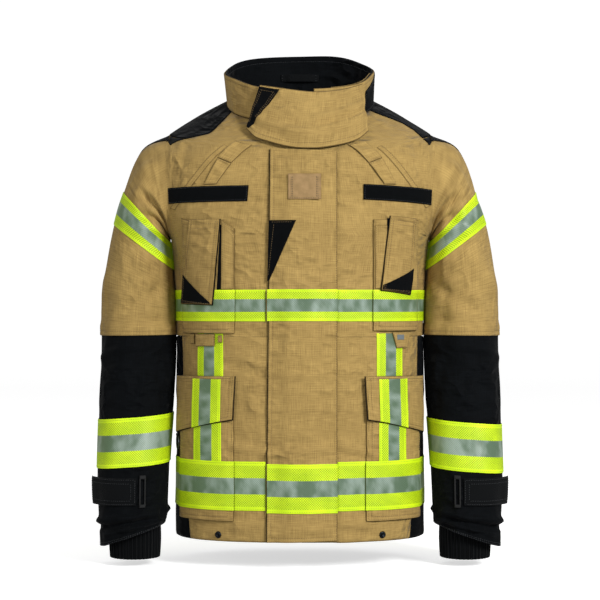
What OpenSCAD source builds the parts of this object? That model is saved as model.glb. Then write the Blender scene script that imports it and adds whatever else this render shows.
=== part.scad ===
// Firefighter's turnout coat, standing as worn: arms down, front closed.
// Heights are measured up from the hem, depth runs from the front (-Y) to the back,
// and the finished coat is moved so that its origin is the hanger loop inside the neck.

/* [Body] */
// Half width of the body at the hem
hem_half_w = 198; // [190:1:202]
// Half width of the body at the waist
waist_half_w = 192; // [184:1:195]
// Half depth of the body, front to back
body_half_d = 146; // [138:1:150]
// Half width of the neck ring
neck_half_w = 118; // [112:1:122]
// Half depth of the neck ring
neck_half_d = 104; // [98:1:108]
// Height of the underarm above the hem
underarm_h = 472; // [464:1:480]
// Height of the collar stand
collar_stand = 54; // [45:1:65]
// Thickness of the outer shell
shell_t = 2; // [1.5:0.1:2.5]

/* [Tape and flaps] */
// Width of the reflective tape round the chest
chest_tape_w = 49; // [45:1:52]
// Width of the reflective tape round the hem and forearm
hem_tape_w = 76; // [70:1:78]
// Width of the storm flap
storm_flap_w = 108; // [100:1:112]
// Height of the storm flap's top edge
storm_flap_top = 606; // [600:1:608]
// Thickness of each pocket bag
pocket_t = 5.5; // [4:0.5:6]

/* [Sleeves] */
// How far the wrist hangs in front of the shoulder
wrist_forward = 60; // [40:1:64]
// Height of the elbow joint
elbow_h = 325; // [320:1:330]

/* [Hidden] */

// The hanger loop's top, which is the coat's origin
loop_y = 90;
loop_h = 745;
tan_cloth = "#a98f5b";
black_cloth = "#15191b";
tape_yellow = "#d4ee2a";
steel = "#8d9299";

gap = 0.4;                 // clearance between neighbouring layers
armhole_x = 207.7;         // the body stops at this plane, the sleeve starts past it
neck_h = 690;              // height of the neck ring at the side
neck_tilt = 0.375;         // rise of the neck ring per millimetre towards the back
flap_edge = 57;            // where the storm flap is sewn
tape_t = 1;                // thickness of a tape or grip patch
bag_top = gap + pocket_t;  // outer face of a pocket bag
flap_t0 = bag_top + 2 * gap + tape_t;    // inner face of a pocket flap
flap_t1 = flap_t0 + 2.5;
storm_t0 = 9;              // inner face of the storm flap
storm_t1 = 12;

// Body sections: height, half width, half depth, roundness, tilt
SECTIONS = [
    [0, hem_half_w, body_half_d, 2.5, 0],
    [120, hem_half_w - 1, body_half_d, 2.5, 0],
    [330, waist_half_w, body_half_d, 2.5, 0],
    [400, waist_half_w + 2, body_half_d, 2.6, 0],
    [450, 199, body_half_d, 2.8, 0],
    [underarm_h, 206, body_half_d, 2.9, 0],
    [505, 219, body_half_d, 3, 0],
    [560, 236, body_half_d - 1, 2.8, 0],
    [600, 242, body_half_d - 5, 2.6, 0.03],
    [625, 230, body_half_d - 13, 2.4, 0.1],
    [650, 196, body_half_d - 22, 2.3, 0.2],
    [670, 160, body_half_d - 32, 2.2, 0.3],
    [neck_h, neck_half_w, neck_half_d, 2, neck_tilt]];

// Sleeve rings: station, inner x, inner height, outer x, outer height, centre y, half depth
RINGS = [
    [0, 208.6, underarm_h + 1, 208.6, 641, 0, 96],
    [1, 209.5, underarm_h + 0.5, 255, 614, 0, 93],
    [2, 210, underarm_h - 1, 283, 552, 0, 89],
    [3, 207.5, 425, 299, 492, 0, 85],
    [4, 205, 375, 312, 405, 0, 81],
    [5, 204.5, elbow_h, 318, elbow_h, -2, 76],
    [6, 204.5, 262, 321, 262, -0.2 * wrist_forward, 74],
    [7, 206, 184, 322, 184, -0.45 * wrist_forward, 72],
    [8, 209, 106, 323, 106, -0.7 * wrist_forward, 69],
    [9, 211, 40, 320, 34, -0.9 * wrist_forward, 65],
    [10, 214, 22, 317, -14, -wrist_forward, 61]];

// ---- smooth tracks through a table, first column is the station ----
function span(t, x, i = 0) = (i >= len(t) - 2 || x < t[i + 1][0]) ? i : span(t, x, i + 1);
function secant(t, i, k) = (t[i + 1][k] - t[i][k]) / (t[i + 1][0] - t[i][0]);
function slope(t, i, k) =
    i == 0 ? secant(t, 0, k)
    : i == len(t) - 1 ? secant(t, i - 1, k)
    : (secant(t, i - 1, k) + secant(t, i, k)) / 2;
function track(t, x, k) =
    let (i = span(t, x), d = t[i + 1][0] - t[i][0], s = (x - t[i][0]) / d)
    t[i][k] * (1 + 2 * s) * (1 - s) * (1 - s) + slope(t, i, k) * d * s * (1 - s) * (1 - s)
    + t[i + 1][k] * s * s * (3 - 2 * s) + slope(t, i + 1, k) * d * s * s * (s - 1);

// ---- the body surface: u is the angle round from the front centre, h the height ----
function rounded(c, p) = sign(c) * pow(abs(c), p);
function body(u, h) =
    let (p = 2 / track(SECTIONS, h, 3), y = -track(SECTIONS, h, 2) * rounded(cos(u), p))
    [track(SECTIONS, h, 1) * rounded(sin(u), p), y, h + track(SECTIONS, h, 4) * y];
function normal(u, h) =
    let (e = 0.4, n = cross(body(u + e, h) - body(u - e, h), body(u, h + e) - body(u, h - e)))
    n / norm(n);
function skin(u, h, t) = body(u, h) + t * normal(u, h);
// The [u, h] place on the front of the body that lies at width x
function at(x, h) =
    let (r = min(1, abs(x) / track(SECTIONS, h, 1)))
    [sign(x) * asin(pow(r, track(SECTIONS, h, 3) / 2)), h];

// ---- the collar surface: w runs from the neck ring to the rim ----
function collar(u, w, t) =
    let (a = neck_half_w + 4 * w + t, b = neck_half_d + 3 * w + t, y = -b * cos(u))
    [a * sin(u), y, neck_h + 1 + collar_stand * w + neck_tilt * y];

// ---- the sleeve surface: q is the angle round from the outside, s the station ----
function sleeve(q, s, t, side) =
    let (ix = track(RINGS, s, 1), ih = track(RINGS, s, 2),
         ox = track(RINGS, s, 3), oh = track(RINGS, s, 4),
         half = norm([ox - ix, oh - ih]) / 2, p = 2 / 2.3,
         r = (half + t) * rounded(cos(q), p) / (2 * half))
    [side * ((ix + ox) / 2 + (ox - ix) * r),
     track(RINGS, s, 5) - (track(RINGS, s, 6) + t) * rounded(sin(q), p),
     (ih + oh) / 2 + (oh - ih) * r];

function mix(a, b, s) = a + (b - a) * s;
function steps(a, b, n) = [for (i = [0:n]) mix(a, b, i / n)];

// ---- a solid between two grids of points, rows upwards and columns to the right ----
module slab(outer, inner, ring = false) {
    rows = len(outer);
    cols = len(outer[0]);
    spans = ring ? cols : cols - 1;
    function id(side, i, j) = side * rows * cols + i * cols + j % cols;
    function two(a, b, c, d) = [[a, b, c], [a, c, d]];
    outside = [for (i = [0:rows - 2], j = [0:spans - 1])
        each two(id(0, i, j), id(0, i + 1, j), id(0, i + 1, j + 1), id(0, i, j + 1))];
    inside = [for (i = [0:rows - 2], j = [0:spans - 1])
        each two(id(1, i, j), id(1, i, j + 1), id(1, i + 1, j + 1), id(1, i + 1, j))];
    low = [for (j = [0:spans - 1])
        each two(id(0, 0, j), id(0, 0, j + 1), id(1, 0, j + 1), id(1, 0, j))];
    top = [for (j = [0:spans - 1], i = rows - 1)
        each two(id(0, i, j), id(1, i, j), id(1, i, j + 1), id(0, i, j + 1))];
    left = ring ? [] : [for (i = [0:rows - 2])
        each two(id(0, i, 0), id(1, i, 0), id(1, i + 1, 0), id(0, i + 1, 0))];
    right = ring ? [] : [for (i = [0:rows - 2], j = cols - 1)
        each two(id(0, i, j), id(0, i + 1, j), id(1, i + 1, j), id(1, i, j))];
    polyhedron([for (g = [outer, inner], row = g) each row],
        concat(outside, inside, low, top, left, right));
}

// A patch on the front between four [x, h] corners, from lower left anticlockwise
function patch_grid(c, t, nu, nv) = [for (r = steps(0, 1, nv))
    let (left = mix(c[0], c[3], r), right = mix(c[1], c[2], r),
        from = at(left[0], left[1]), to = at(right[0], right[1]))
    [for (s = steps(0, 1, nu)) let (p = mix(from, to, s)) skin(p[0], p[1], t)]];
module patch(c, t0, t1, nu = 3, nv = 3)
    slab(patch_grid(c, t1, nu, nv), patch_grid(c, t0, nu, nv));

// A patch between two side edges given as functions of height, at the listed heights
module panel(heights, from, to, t0, t1, n) {
    function grid(t) = [for (h = heights) [for (s = steps(0, 1, n))
        skin(mix(from(h), to(h), s), h, t)]];
    slab(grid(t1), grid(t0));
}

// A band on a sleeve, all the way round unless from and to are given
module cuff_band(s0, s1, t0, t1, side, ns, nq = 24) {
    function grid(t) = [for (s = side > 0 ? steps(s1, s0, ns) : steps(s0, s1, ns))
        [for (q = [0:360 / nq:359]) sleeve(q, s, t, side)]];
    slab(grid(t1), grid(t0), ring = true);
}
module cuff_patch(q0, q1, s0, s1, t0, t1, side, nq, ns) {
    function grid(t) = [for (s = side > 0 ? steps(s1, s0, ns) : steps(s0, s1, ns))
        [for (q = steps(q0, q1, nq)) sleeve(q, s, t, side)]];
    slab(grid(t1), grid(t0));
}

module placed(c) translate([0, -loop_y, -loop_h]) color(c) children();
module both() for (side = [1, -1]) scale([side, 1, 1]) children();

// ---- edges of the shell panels ----
side_panel_top = 318;
seam_u = 0.1;              // the angle left free at a seam
yoke_low = 643;            // lower edge of the shoulder yokes
yoke_half = 28;            // half of the angle that a yoke covers
opening_half = 3;          // half of the gap down the front, under the zipper
function side_u(h) = mix(57, 76, h / side_panel_top);
function front_edge(h) =
    h < side_panel_top + gap ? side_u(h) - 1.5 * seam_u
    : h < underarm_h ? 90 - seam_u
    : h < yoke_low ? at(armhole_x, h)[0]
    : 90 - yoke_half - seam_u;
function back_edge(h) = 180 - front_edge(h);
function opening_edge(h) = at(opening_half, h)[0];
// The heights of the rows of the shell's panels
TOP = [641.5, yoke_low, 656, 672, neck_h];
CHEST = [underarm_h, 479, 487, 496, 508, 524, 542, 560, 580, 600, 622];
WAIST = [380, 415, 445, underarm_h - 1];
SHELL = concat([0, 60, 120, 225, side_panel_top - gap, side_panel_top + 2 * gap], WAIST, CHEST,
    TOP);

module front_panel(side) placed(tan_cloth) {
    if (side > 0)
        panel(SHELL, function(h) opening_edge(h), function(h) front_edge(h), -shell_t, 0, 9);
    else
        panel(SHELL, function(h) -front_edge(h), function(h) -opening_edge(h), -shell_t, 0, 9);
    // the sewn edge that carries the storm flap
    if (side > 0)
        patch([[flap_edge + 1, 4], [flap_edge + 4, 4], [flap_edge + 4, storm_flap_top],
            [flap_edge + 1, storm_flap_top]], -0.5, storm_t1, 1, 8);
}
module back_panel() placed(tan_cloth)
    panel(SHELL, function(h) back_edge(h), function(h) 360 - back_edge(h), -shell_t, 0, 34);
module side_panel(side) placed(black_cloth)
    panel([0, 60, 120, 225, side_panel_top], function(h) side * 90 - (90 - side_u(h)),
        function(h) side * 90 + (90 - side_u(h)), -shell_t, 0, 6);
module shoulder_yoke(side) placed(black_cloth)
    panel([yoke_low, 656, 672, neck_h], function(h) side * 90 - yoke_half + seam_u,
        function(h) side * 90 + yoke_half - seam_u, -shell_t, 0, 6);

// A lining layer inside the shell, open down the front and at the armholes
lining_edge = 20;          // the lining stops this far from the front opening
lining_waist = 330;
module lining(t0, t1, low) {
    heights = concat([low, 120, 225, lining_waist], WAIST, CHEST, [641, yoke_low, 656, 672, 680]);
    side_edge = 90 - 2 * seam_u;
    edge = function(h) h < yoke_low ? min(side_edge, front_edge(max(h, lining_waist)))
        : side_edge;
    panel(heights, function(h) at(lining_edge, h)[0], edge, t0, t1, 7);
    panel(heights, function(h) -edge(h), function(h) -at(lining_edge, h)[0], t0, t1, 7);
    panel(heights, function(h) 180 - edge(h), function(h) 180 + edge(h), t0, t1, 14);
}
module moisture_barrier() placed("#c9cbc6") lining(-5, -4, 14);
module thermal_liner() placed("#3a3f3d") lining(-8.5, -6.5, 20);

module collar_wall(u0, u1, w0, w1, t0, t1, n) {
    function grid(t) = [for (w = steps(w0, w1, 3)) [for (u = steps(u0, u1, n)) collar(u, w, t)]];
    slab(grid(t1), grid(t0));
}
module collar_shell() placed(tan_cloth) collar_wall(10, 350, 0, 1, -2.5, 0, 32);
module collar_lining() placed(black_cloth) collar_wall(10, 350, 0.02, 0.98, -6, -3, 32);

// Webbing strip at the inside back of the neck, sewn at its ends and standing off between
loop_w = 64;
loop_strip = 12;
module hanger_loop() color(black_cloth)
    translate([0, 0, -loop_strip / 2]) linear_extrude(loop_strip)
        for (side = [1, -1]) scale([side, 1])
            polygon([[0, -0.8], [18, -0.8], [24, 2.6], [loop_w / 2, 2.6], [loop_w / 2, 3.9],
                [23.4, 3.9], [17.4, 0.6], [0, 0.6]]);

// ---- zipper ----
zip_y = -body_half_d;
zip_low = 14;
zip_high = 556;
module zipper_tapes() placed(black_cloth) both()
    translate([3.4, zip_y - 1.4, zip_low]) cube([9, 0.9, zip_high - zip_low]);
module zipper_teeth() placed("#b59a55")
    for (z = [zip_low + 4:12:zip_high - 40])
        translate([-2.8, zip_y - 3.6, z]) cube([5.6, 2, 8]);
module zipper_slider() placed(steel)
    translate([0, zip_y, zip_high - 18]) difference() {
        translate([-6.5, -6.2, 0]) cube([13, 4.4, 17]);
        translate([-3.4, -4.2, -1]) cube([6.8, 3, 19]);
    }
module zipper_pull() placed(steel)
    translate([0, zip_y - 6.4, zip_high - 58]) rotate([90, 0, 0]) linear_extrude(1.2)
        difference() {
            hull() {
                translate([0, 50]) circle(r = 4);
                translate([0, 4]) circle(r = 5);
            }
            translate([0, 5]) circle(r = 2);
        }
module hook_strips() placed(black_cloth) {
    patch([[-48, 40], [-26, 40], [-26, 520], [-48, 520]], gap, gap + 1.4, 1, 6);
    patch([[20, 40], [42, 40], [42, 520], [20, 520]], gap, gap + 1.4, 1, 6);
}

// ---- storm flap, hung from its sewn edge ----
flap_free = flap_edge - storm_flap_w;
module storm_flap() placed(tan_cloth)
    patch([[flap_free, 1], [flap_edge, 3], [flap_edge, storm_flap_top],
        [flap_free + 5, storm_flap_top]], storm_t0, storm_t1, 6, 10);
module storm_flap_grip() placed(black_cloth)
    patch([[-48, 405], [-46, 405], [-6, 497], [-47, 497]], storm_t1 + gap,
        storm_t1 + gap + tape_t, 3, 3);
module storm_band(h, w) patch([[flap_free + 1, h], [flap_edge - 1, h],
    [flap_edge - 1, h + w], [flap_free + 1, h + w]], storm_t1 + gap,
    storm_t1 + gap + tape_t, 6, 2);
module storm_flap_tapes() placed(tape_yellow) {
    storm_band(342.5, chest_tape_w);
    storm_band(46, hem_tape_w);
}
// A flat leather-like patch, blank
module label_patch() placed("#a5824a")
    translate([7, -body_half_d - storm_t1 - gap, 530]) rotate([90, 0, 0])
        linear_extrude(1.6) offset(r = 3) offset(delta = -3)
            translate([-25.5, 0]) square([51, 39.5]);

// ---- throat flap: a band ruled from the collar rim down to the chest ----
function throat_low(s) = 630 + 38 * pow(abs(2 * s - 1), 2);
function throat(s, w, t) =
    mix(skin(mix(-39, 41, s), throat_low(s), 9 + t), collar(mix(-47, 50, s), 0.98, 2 + t), w);
function throat_grid(s0, s1, w0, w1, t, n) = [for (w = steps(0, 1, 3))
    [for (s = steps(0, 1, n)) throat(mix(mix(s0[0], s0[1], w), mix(s1[0], s1[1], w), s),
        mix(w0, w1, w), t)]];
module throat_flap() placed(tan_cloth)
    slab(throat_grid([0, 0], [1, 1], 0, 1, 3, 12), throat_grid([0, 0], [1, 1], 0, 1, 0, 12));
module throat_flap_grip() placed(black_cloth)
    slab(throat_grid([0.02, 0.1], [0.04, 0.27], 0.16, 0.96, 4.7, 6),
        throat_grid([0.02, 0.1], [0.04, 0.27], 0.16, 0.96, 3.7, 6));

// ---- name strips, shoulder straps and pocket straps ----
module name_strip(x0, x1, h) placed(black_cloth)
    patch([[x0, h], [x1, h], [x1, h + 24], [x0, h + 24]], 2 * gap, 2 * gap + 1.6, 14, 2);
module shoulder_straps() placed(tan_cloth) both() {
    patch([[132, 555], [149, 555], [126, 598], [108, 588]], gap, gap + 1.8, 3, 4);
    patch([[108, 589], [126, 599], [97, 640], [76, 630]], gap, gap + 1.8, 2, 4);
}
module pocket_straps() placed(tan_cloth) {
    patch([[-120, 392], [-102, 392], [-101, 486], [-120, 499]], bag_top + gap,
        bag_top + gap + tape_t, 3, 6);
    patch([[115, 393], [131, 393], [133, 491], [115, 491]], bag_top + gap,
        bag_top + gap + tape_t, 3, 6);
}
module pocket_tabs() placed(tan_cloth) {
    patch([[-161, 302], [-131, 302], [-131, 322], [-161, 322]], gap + tape_t + gap,
        4, 5, 1);
    patch([[-172, 306], [-165, 306], [-165, 322], [-172, 322]], gap, 2.4, 1, 1);
    patch([[-126, 309], [-119, 309], [-119, 320], [-126, 320]], gap + tape_t + 2 * gap,
        4.2, 2, 1);
    patch([[142, 306], [172, 306], [172, 325], [142, 325]], gap + tape_t + gap,
        4, 5, 1);
}

// ---- chest and cargo pockets: flat closed bags, flaps hung from their top edges ----
module pocket(x0, x1, h0, h1, drop) placed(tan_cloth)
    patch([[x0, h0], [x1, h0], [x1, h1], [x0, h1 + drop]], 2 * gap, bag_top, 12, 7);
module chest_flap(side) placed(tan_cloth)
    if (side > 0)
        patch([[122, 391], [166, 384], [176, 503], [137, 506]], flap_t0, flap_t1, 6, 4);
    else
        patch([[-179, 370], [-132, 368], [-122, 501], [-168, 501]], flap_t0, flap_t1,
            6, 4);
module chest_flap_grip(side) placed(black_cloth)
    if (side > 0)
        patch([[123, 392], [165, 385], [171, 426], [124, 399]], flap_t1 + gap,
            flap_t1 + gap + tape_t, 5, 2);
    else
        patch([[-178, 371], [-133, 369], [-135, 372], [-175, 416]], flap_t1 + gap,
            flap_t1 + gap + tape_t, 5, 2);
module cargo_flap(side) placed(tan_cloth)
    scale([side, 1, 1])
        patch([[102, 190], [187, 166], [186, 255], [98, 257]], flap_t0, flap_t1, 12, 3);
module cargo_flap_tape(side) placed(tape_yellow)
    scale([side, 1, 1])
        patch([[120, 187], [162, 175], [160, 252], [118, 252]], flap_t1 + gap,
            flap_t1 + gap + tape_t, 6, 2);

// ---- reflective tape on the body ----
module band(x0, x1, h, w, t, n) patch([[x0, h], [x1, h], [x1, h + w], [x0, h + w]],
    t, t + tape_t, n, 1);
module back_band(x, h, w)
    panel([h, h + w], function(h) at(x, h)[0], function(h) 360 - at(x, h)[0], gap,
        gap + tape_t, 44);
module chest_tape() placed(tape_yellow) {
    band(-99, -53, 342, chest_tape_w, gap, 2);
    band(-183, -102, 342, chest_tape_w, bag_top + gap, 10);
    band(64, 111, 342, chest_tape_w, gap, 2);
    band(114, 183, 342, chest_tape_w, bag_top + gap, 10);
    back_band(187, 342, chest_tape_w);
}
module hem_tape() placed(tape_yellow) {
    both() band(64, 99, 49, hem_tape_w, gap, 2);
    both() band(103, 187, 49, hem_tape_w, bag_top + gap, 12);
    back_band(191, 49, hem_tape_w);
}
module vertical_tapes() placed(tape_yellow) both() {
    patch([[119, 262], [160, 262], [160, 321], [119, 321]], gap, gap + tape_t, 5, 2);
    patch([[120, 126], [162, 126], [162, 162], [120, 178]], bag_top + gap,
        bag_top + gap + tape_t, 6, 1);
}

module hem_snaps() placed(steel)
    for (x = [-127, 128])
        let (p = body(at(x, 10)[0], 10), n = normal(at(x, 10)[0], 10))
        translate(p + gap * n) rotate([90, 0, atan2(n[0], -n[1])])
            cylinder(r = 5.5, h = 2.4, $fn = 40);

// ---- ring on a webbing tab, at the right side of the body ----
ring_r = 11;
ring_u = -77;
ring_h = 158;
module on_side(t) {
    p = skin(ring_u, ring_h, t);
    n = normal(ring_u, ring_h);
    translate(p) rotate([0, 0, atan2(n[1], n[0])]) children();
}
module ring_tab() placed(black_cloth) on_side(0.5) {
    translate([0, -4, -2]) cube([0.8, 8, 22]);
    translate([0, -4, -2]) cube([5.4, 8, 0.9]);
    translate([4.6, -4, -2]) cube([0.8, 8, 8]);
    translate([0.8, -4, 5.1]) cube([4.6, 8, 0.9]);
}
module tool_ring() placed(steel) on_side(3.2)
    translate([0, 0, 1.6 - ring_r]) rotate([0, 90, 0])
        rotate_extrude($fn = 48) translate([ring_r, 0]) circle(r = 1.2, $fn = 16);

// ---- sleeves ----
module upper_sleeve(side) placed(tan_cloth) cuff_band(0, 4.985, -shell_t, 0, side, 12);
module upper_sleeve_tape(side) placed(tape_yellow)
    cuff_band(2.05, 2.95, gap, gap + tape_t, side, 2);
module lower_sleeve(side) placed(black_cloth) cuff_band(5.01, 10, -shell_t, 0, side, 9);
module lower_sleeve_tape(side) placed(tape_yellow)
    cuff_band(7.0, 7.98, gap, gap + tape_t, side, 2);
module cuff_strap(side) placed(black_cloth)
    cuff_patch(22, 98, 8.13, 8.71, 1, 3, side, 8, 1);
module cuff_buckle(side) placed(steel)
    cuff_patch(102, 112, 8.07, 8.77, gap, 4, side, 1, 1);

// Knitted wristlet that comes out of the cuff
module wristlet(side) placed(black_cloth)
    translate([side * 262, -wrist_forward, -32]) scale([side, 1, 1])
        difference() {
            linear_extrude(66) scale([1, 1.12]) circle(r = 41, $fn = 32);
            translate([0, 0, -1]) linear_extrude(68) scale([1, 1.14]) circle(r = 38, $fn = 32);
        }

back_panel();
front_panel(-1);  // right_front_panel
front_panel(1);  // left_front_panel
side_panel(-1);  // right_side_panel
side_panel(1);  // left_side_panel
shoulder_yoke(-1);  // right_shoulder_yoke
shoulder_yoke(1);  // left_shoulder_yoke
moisture_barrier();
thermal_liner();
collar_shell();
collar_lining();
hanger_loop();
zipper_tapes();
zipper_teeth();
hook_strips();
name_strip(-205, -81, 527);  // right_name_strip
name_strip(98, 205, 529);  // left_name_strip
shoulder_straps();
pocket(-184, -101, 323, 486, 17);  // right_chest_pocket
pocket(113, 185, 327, 500, 0);  // left_chest_pocket
pocket_straps();
pocket_tabs();
pocket(-188, -102, 32, 254, 0);  // right_cargo_pocket
pocket(102, 188, 32, 254, 0);  // left_cargo_pocket
chest_tape();
hem_tape();
vertical_tapes();
hem_snaps();
ring_tab();
tool_ring();
storm_flap();
storm_flap_grip();
storm_flap_tapes();
label_patch();
throat_flap();
throat_flap_grip();
zipper_slider();
zipper_pull();
chest_flap(-1);  // right_chest_flap
chest_flap_grip(-1);  // right_chest_flap_grip
chest_flap(1);  // left_chest_flap
chest_flap_grip(1);  // left_chest_flap_grip
cargo_flap(-1);  // right_cargo_flap
cargo_flap_tape(-1);  // right_cargo_flap_tape
cargo_flap(1);  // left_cargo_flap
cargo_flap_tape(1);  // left_cargo_flap_tape
upper_sleeve(-1);  // right_upper_sleeve
upper_sleeve_tape(-1);  // right_upper_sleeve_tape
lower_sleeve(-1);  // right_lower_sleeve
lower_sleeve_tape(-1);  // right_lower_sleeve_tape
wristlet(-1);  // right_wristlet
cuff_strap(-1);  // right_cuff_strap
cuff_buckle(-1);  // right_cuff_buckle
upper_sleeve(1);  // left_upper_sleeve
upper_sleeve_tape(1);  // left_upper_sleeve_tape
lower_sleeve(1);  // left_lower_sleeve
lower_sleeve_tape(1);  // left_lower_sleeve_tape
wristlet(1);  // left_wristlet
cuff_strap(1);  // left_cuff_strap
cuff_buckle(1);  // left_cuff_buckle
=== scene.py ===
import bpy
import numpy as np
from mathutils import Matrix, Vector


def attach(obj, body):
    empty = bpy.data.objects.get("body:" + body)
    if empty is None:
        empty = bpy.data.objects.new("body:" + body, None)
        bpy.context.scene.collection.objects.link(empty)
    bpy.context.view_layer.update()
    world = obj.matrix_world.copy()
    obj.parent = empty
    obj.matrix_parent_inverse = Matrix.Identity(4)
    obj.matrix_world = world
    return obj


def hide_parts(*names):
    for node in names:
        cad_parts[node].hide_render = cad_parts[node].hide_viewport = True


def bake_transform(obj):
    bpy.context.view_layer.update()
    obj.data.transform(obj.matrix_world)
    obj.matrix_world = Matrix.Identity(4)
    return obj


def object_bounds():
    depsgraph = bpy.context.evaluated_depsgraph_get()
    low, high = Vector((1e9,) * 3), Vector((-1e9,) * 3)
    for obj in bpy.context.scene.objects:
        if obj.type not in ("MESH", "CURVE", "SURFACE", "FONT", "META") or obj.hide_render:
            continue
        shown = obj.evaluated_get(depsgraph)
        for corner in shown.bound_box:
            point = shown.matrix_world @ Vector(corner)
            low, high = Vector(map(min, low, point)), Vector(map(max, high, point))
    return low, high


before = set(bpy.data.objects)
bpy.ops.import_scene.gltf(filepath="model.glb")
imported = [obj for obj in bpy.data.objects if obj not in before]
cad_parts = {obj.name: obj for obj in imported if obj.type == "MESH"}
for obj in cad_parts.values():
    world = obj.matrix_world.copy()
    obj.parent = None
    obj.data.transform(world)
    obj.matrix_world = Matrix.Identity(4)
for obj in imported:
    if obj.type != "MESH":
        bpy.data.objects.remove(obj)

CAD_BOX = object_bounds()

# All sizes below are millimetres in the coat's own terms, as in the part: x is the wearer's
# left, y is depth with the front at -Y, h is the height above the hem. place() turns them
# into the frame's metres, whose origin is the hanger loop.
LOOP_Y = 90
LOOP_H = 745
# Distances out from the body's cloth: of what lies on it, of a pocket bag's outer face and the
# tape sewn across it, and of a pocket flap's outer face
GAP = 0.4
BAG_TOP = 5.9
BAG_TAPE = 6.3
FLAP_T = 10.2
# Heights of the reflective bands round the body
CHEST_BAND = (342, 391)
HEM_BAND = (49, 125)
ZIP_FRONT = -146
ARMHOLE_X = 207.7
UNDERARM_H = 472
NECK_H = 690
SIDE_PANEL_TOP = 318
YOKE_LOW = 643
FLAP_EDGE = 57
FLAP_FREE = -51
FLAP_TOP = 612
WRIST_FORWARD = 60
# How square a sleeve is across: the power that its cosine and sine are raised to
SLEEVE_ROUND = 2 / 2.3

# The body at each height: h, half width, half depth, squareness, rise towards the back
SECTIONS = np.array([
    [0, 198, 146, 2.5, 0], [120, 197, 146, 2.5, 0], [330, 192, 146, 2.5, 0],
    [400, 194, 146, 2.6, 0], [450, 199, 146, 2.8, 0], [472, 206, 146, 2.9, 0],
    [505, 219, 146, 3, 0], [560, 236, 145, 2.8, 0], [600, 242, 141, 2.6, 0.03],
    [625, 230, 133, 2.4, 0.1], [650, 196, 124, 2.3, 0.2], [670, 160, 114, 2.2, 0.3],
    [690, 118, 104, 2, 0.375]])
# The sleeve at each station: s, x and h of its inside, x and h of its outside, y, half depth
RINGS = np.array([
    [0, 208.6, 473, 208.6, 641, 0, 96], [1, 209.5, 472.5, 255, 614, 0, 93],
    [2, 210, 471, 283, 552, 0, 89], [3, 207.5, 425, 299, 492, 0, 85],
    [4, 205, 375, 312, 405, 0, 81], [5, 204.5, 325, 318, 325, -2, 76],
    [6, 204.5, 262, 321, 262, -0.2 * WRIST_FORWARD, 74],
    [7, 206, 184, 322, 184, -0.45 * WRIST_FORWARD, 72],
    [8, 209, 106, 323, 106, -0.7 * WRIST_FORWARD, 69], [9, 211, 40, 320, 34, -0.9 * WRIST_FORWARD, 65],
    [10, 214, 22, 317, -14, -WRIST_FORWARD, 61]])


# ---------------------------------------------------------------- surfaces
def place(points):
    return (np.asarray(points, float) - (0, LOOP_Y, LOOP_H)) / 1000


def mix(a, b, s):
    return a + (b - a) * s


def ease(x, low, high):
    """0 below low, 1 above high, smooth between."""
    s = np.clip((np.asarray(x, float) - low) / (high - low), 0, 1)
    return s * s * (3 - 2 * s)


def track(table, x, k):
    """A smooth line through column k of a table whose first column is the station."""
    xs, ys = table[:, 0], table[:, k]
    secant = np.diff(ys) / np.diff(xs)
    slope = np.concatenate([secant[:1], (secant[1:] + secant[:-1]) / 2, secant[-1:]])
    x = np.asarray(x, float)
    i = np.clip(np.searchsorted(xs, x, side="right") - 1, 0, len(xs) - 2)
    d = xs[i + 1] - xs[i]
    s = (x - xs[i]) / d
    return (ys[i] * (1 + 2 * s) * (1 - s) ** 2 + slope[i] * d * s * (1 - s) ** 2
            + ys[i + 1] * s * s * (3 - 2 * s) + slope[i + 1] * d * s * s * (s - 1))


def rounded(c, p):
    return np.sign(c) * np.abs(c) ** p


def body(u, h):
    """The coat's body, u degrees round from the front centre at height h."""
    u = np.radians(u)
    p = 2 / track(SECTIONS, h, 3)
    y = -track(SECTIONS, h, 2) * rounded(np.cos(u), p)
    x = track(SECTIONS, h, 1) * rounded(np.sin(u), p)
    return np.stack(np.broadcast_arrays(x, y, h + track(SECTIONS, h, 4) * y), -1)


def unit(v):
    return v / np.linalg.norm(v, axis=-1, keepdims=True)


def at(x, h):
    """The angle u on the front of the body that lies at width x."""
    r = np.minimum(1, np.abs(x) / track(SECTIONS, h, 1))
    return np.sign(x) * np.degrees(np.arcsin(r ** (track(SECTIONS, h, 3) / 2)))


def waves(x, y, scale, seed):
    """Smooth unevenness from -1 to 1 with features about as wide as scale."""
    rng = np.random.default_rng(seed)
    total = 0
    for _ in range(9):
        turn, phase = rng.uniform(0, 2 * np.pi, 2)
        rate = 2 * np.pi / scale * rng.uniform(0.35, 1)
        total = total + np.sin(rate * (x * np.cos(turn) + y * np.sin(turn)) + phase)
    return total / 4.5


def creases(x, y, table):
    """Folds along lines: x and y of both ends, width, height (below 0 for a groove)."""
    total = 0
    for x0, y0, x1, y1, width, height in table:
        dx, dy = x1 - x0, y1 - y0
        long = np.hypot(dx, dy)
        along = ((x - x0) * dx + (y - y0) * dy) / long
        off = ((x - x0) * dy - (y - y0) * dx) / long
        off = off + 0.12 * long * np.sin(np.pi * np.clip(along / long, 0, 1)) * (width / 40)
        past = np.maximum(0, np.maximum(-along, along - long))
        total = total + height * np.exp(-(off / width) ** 2 - (past / (2.2 * width)) ** 2)
    return total


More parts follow.
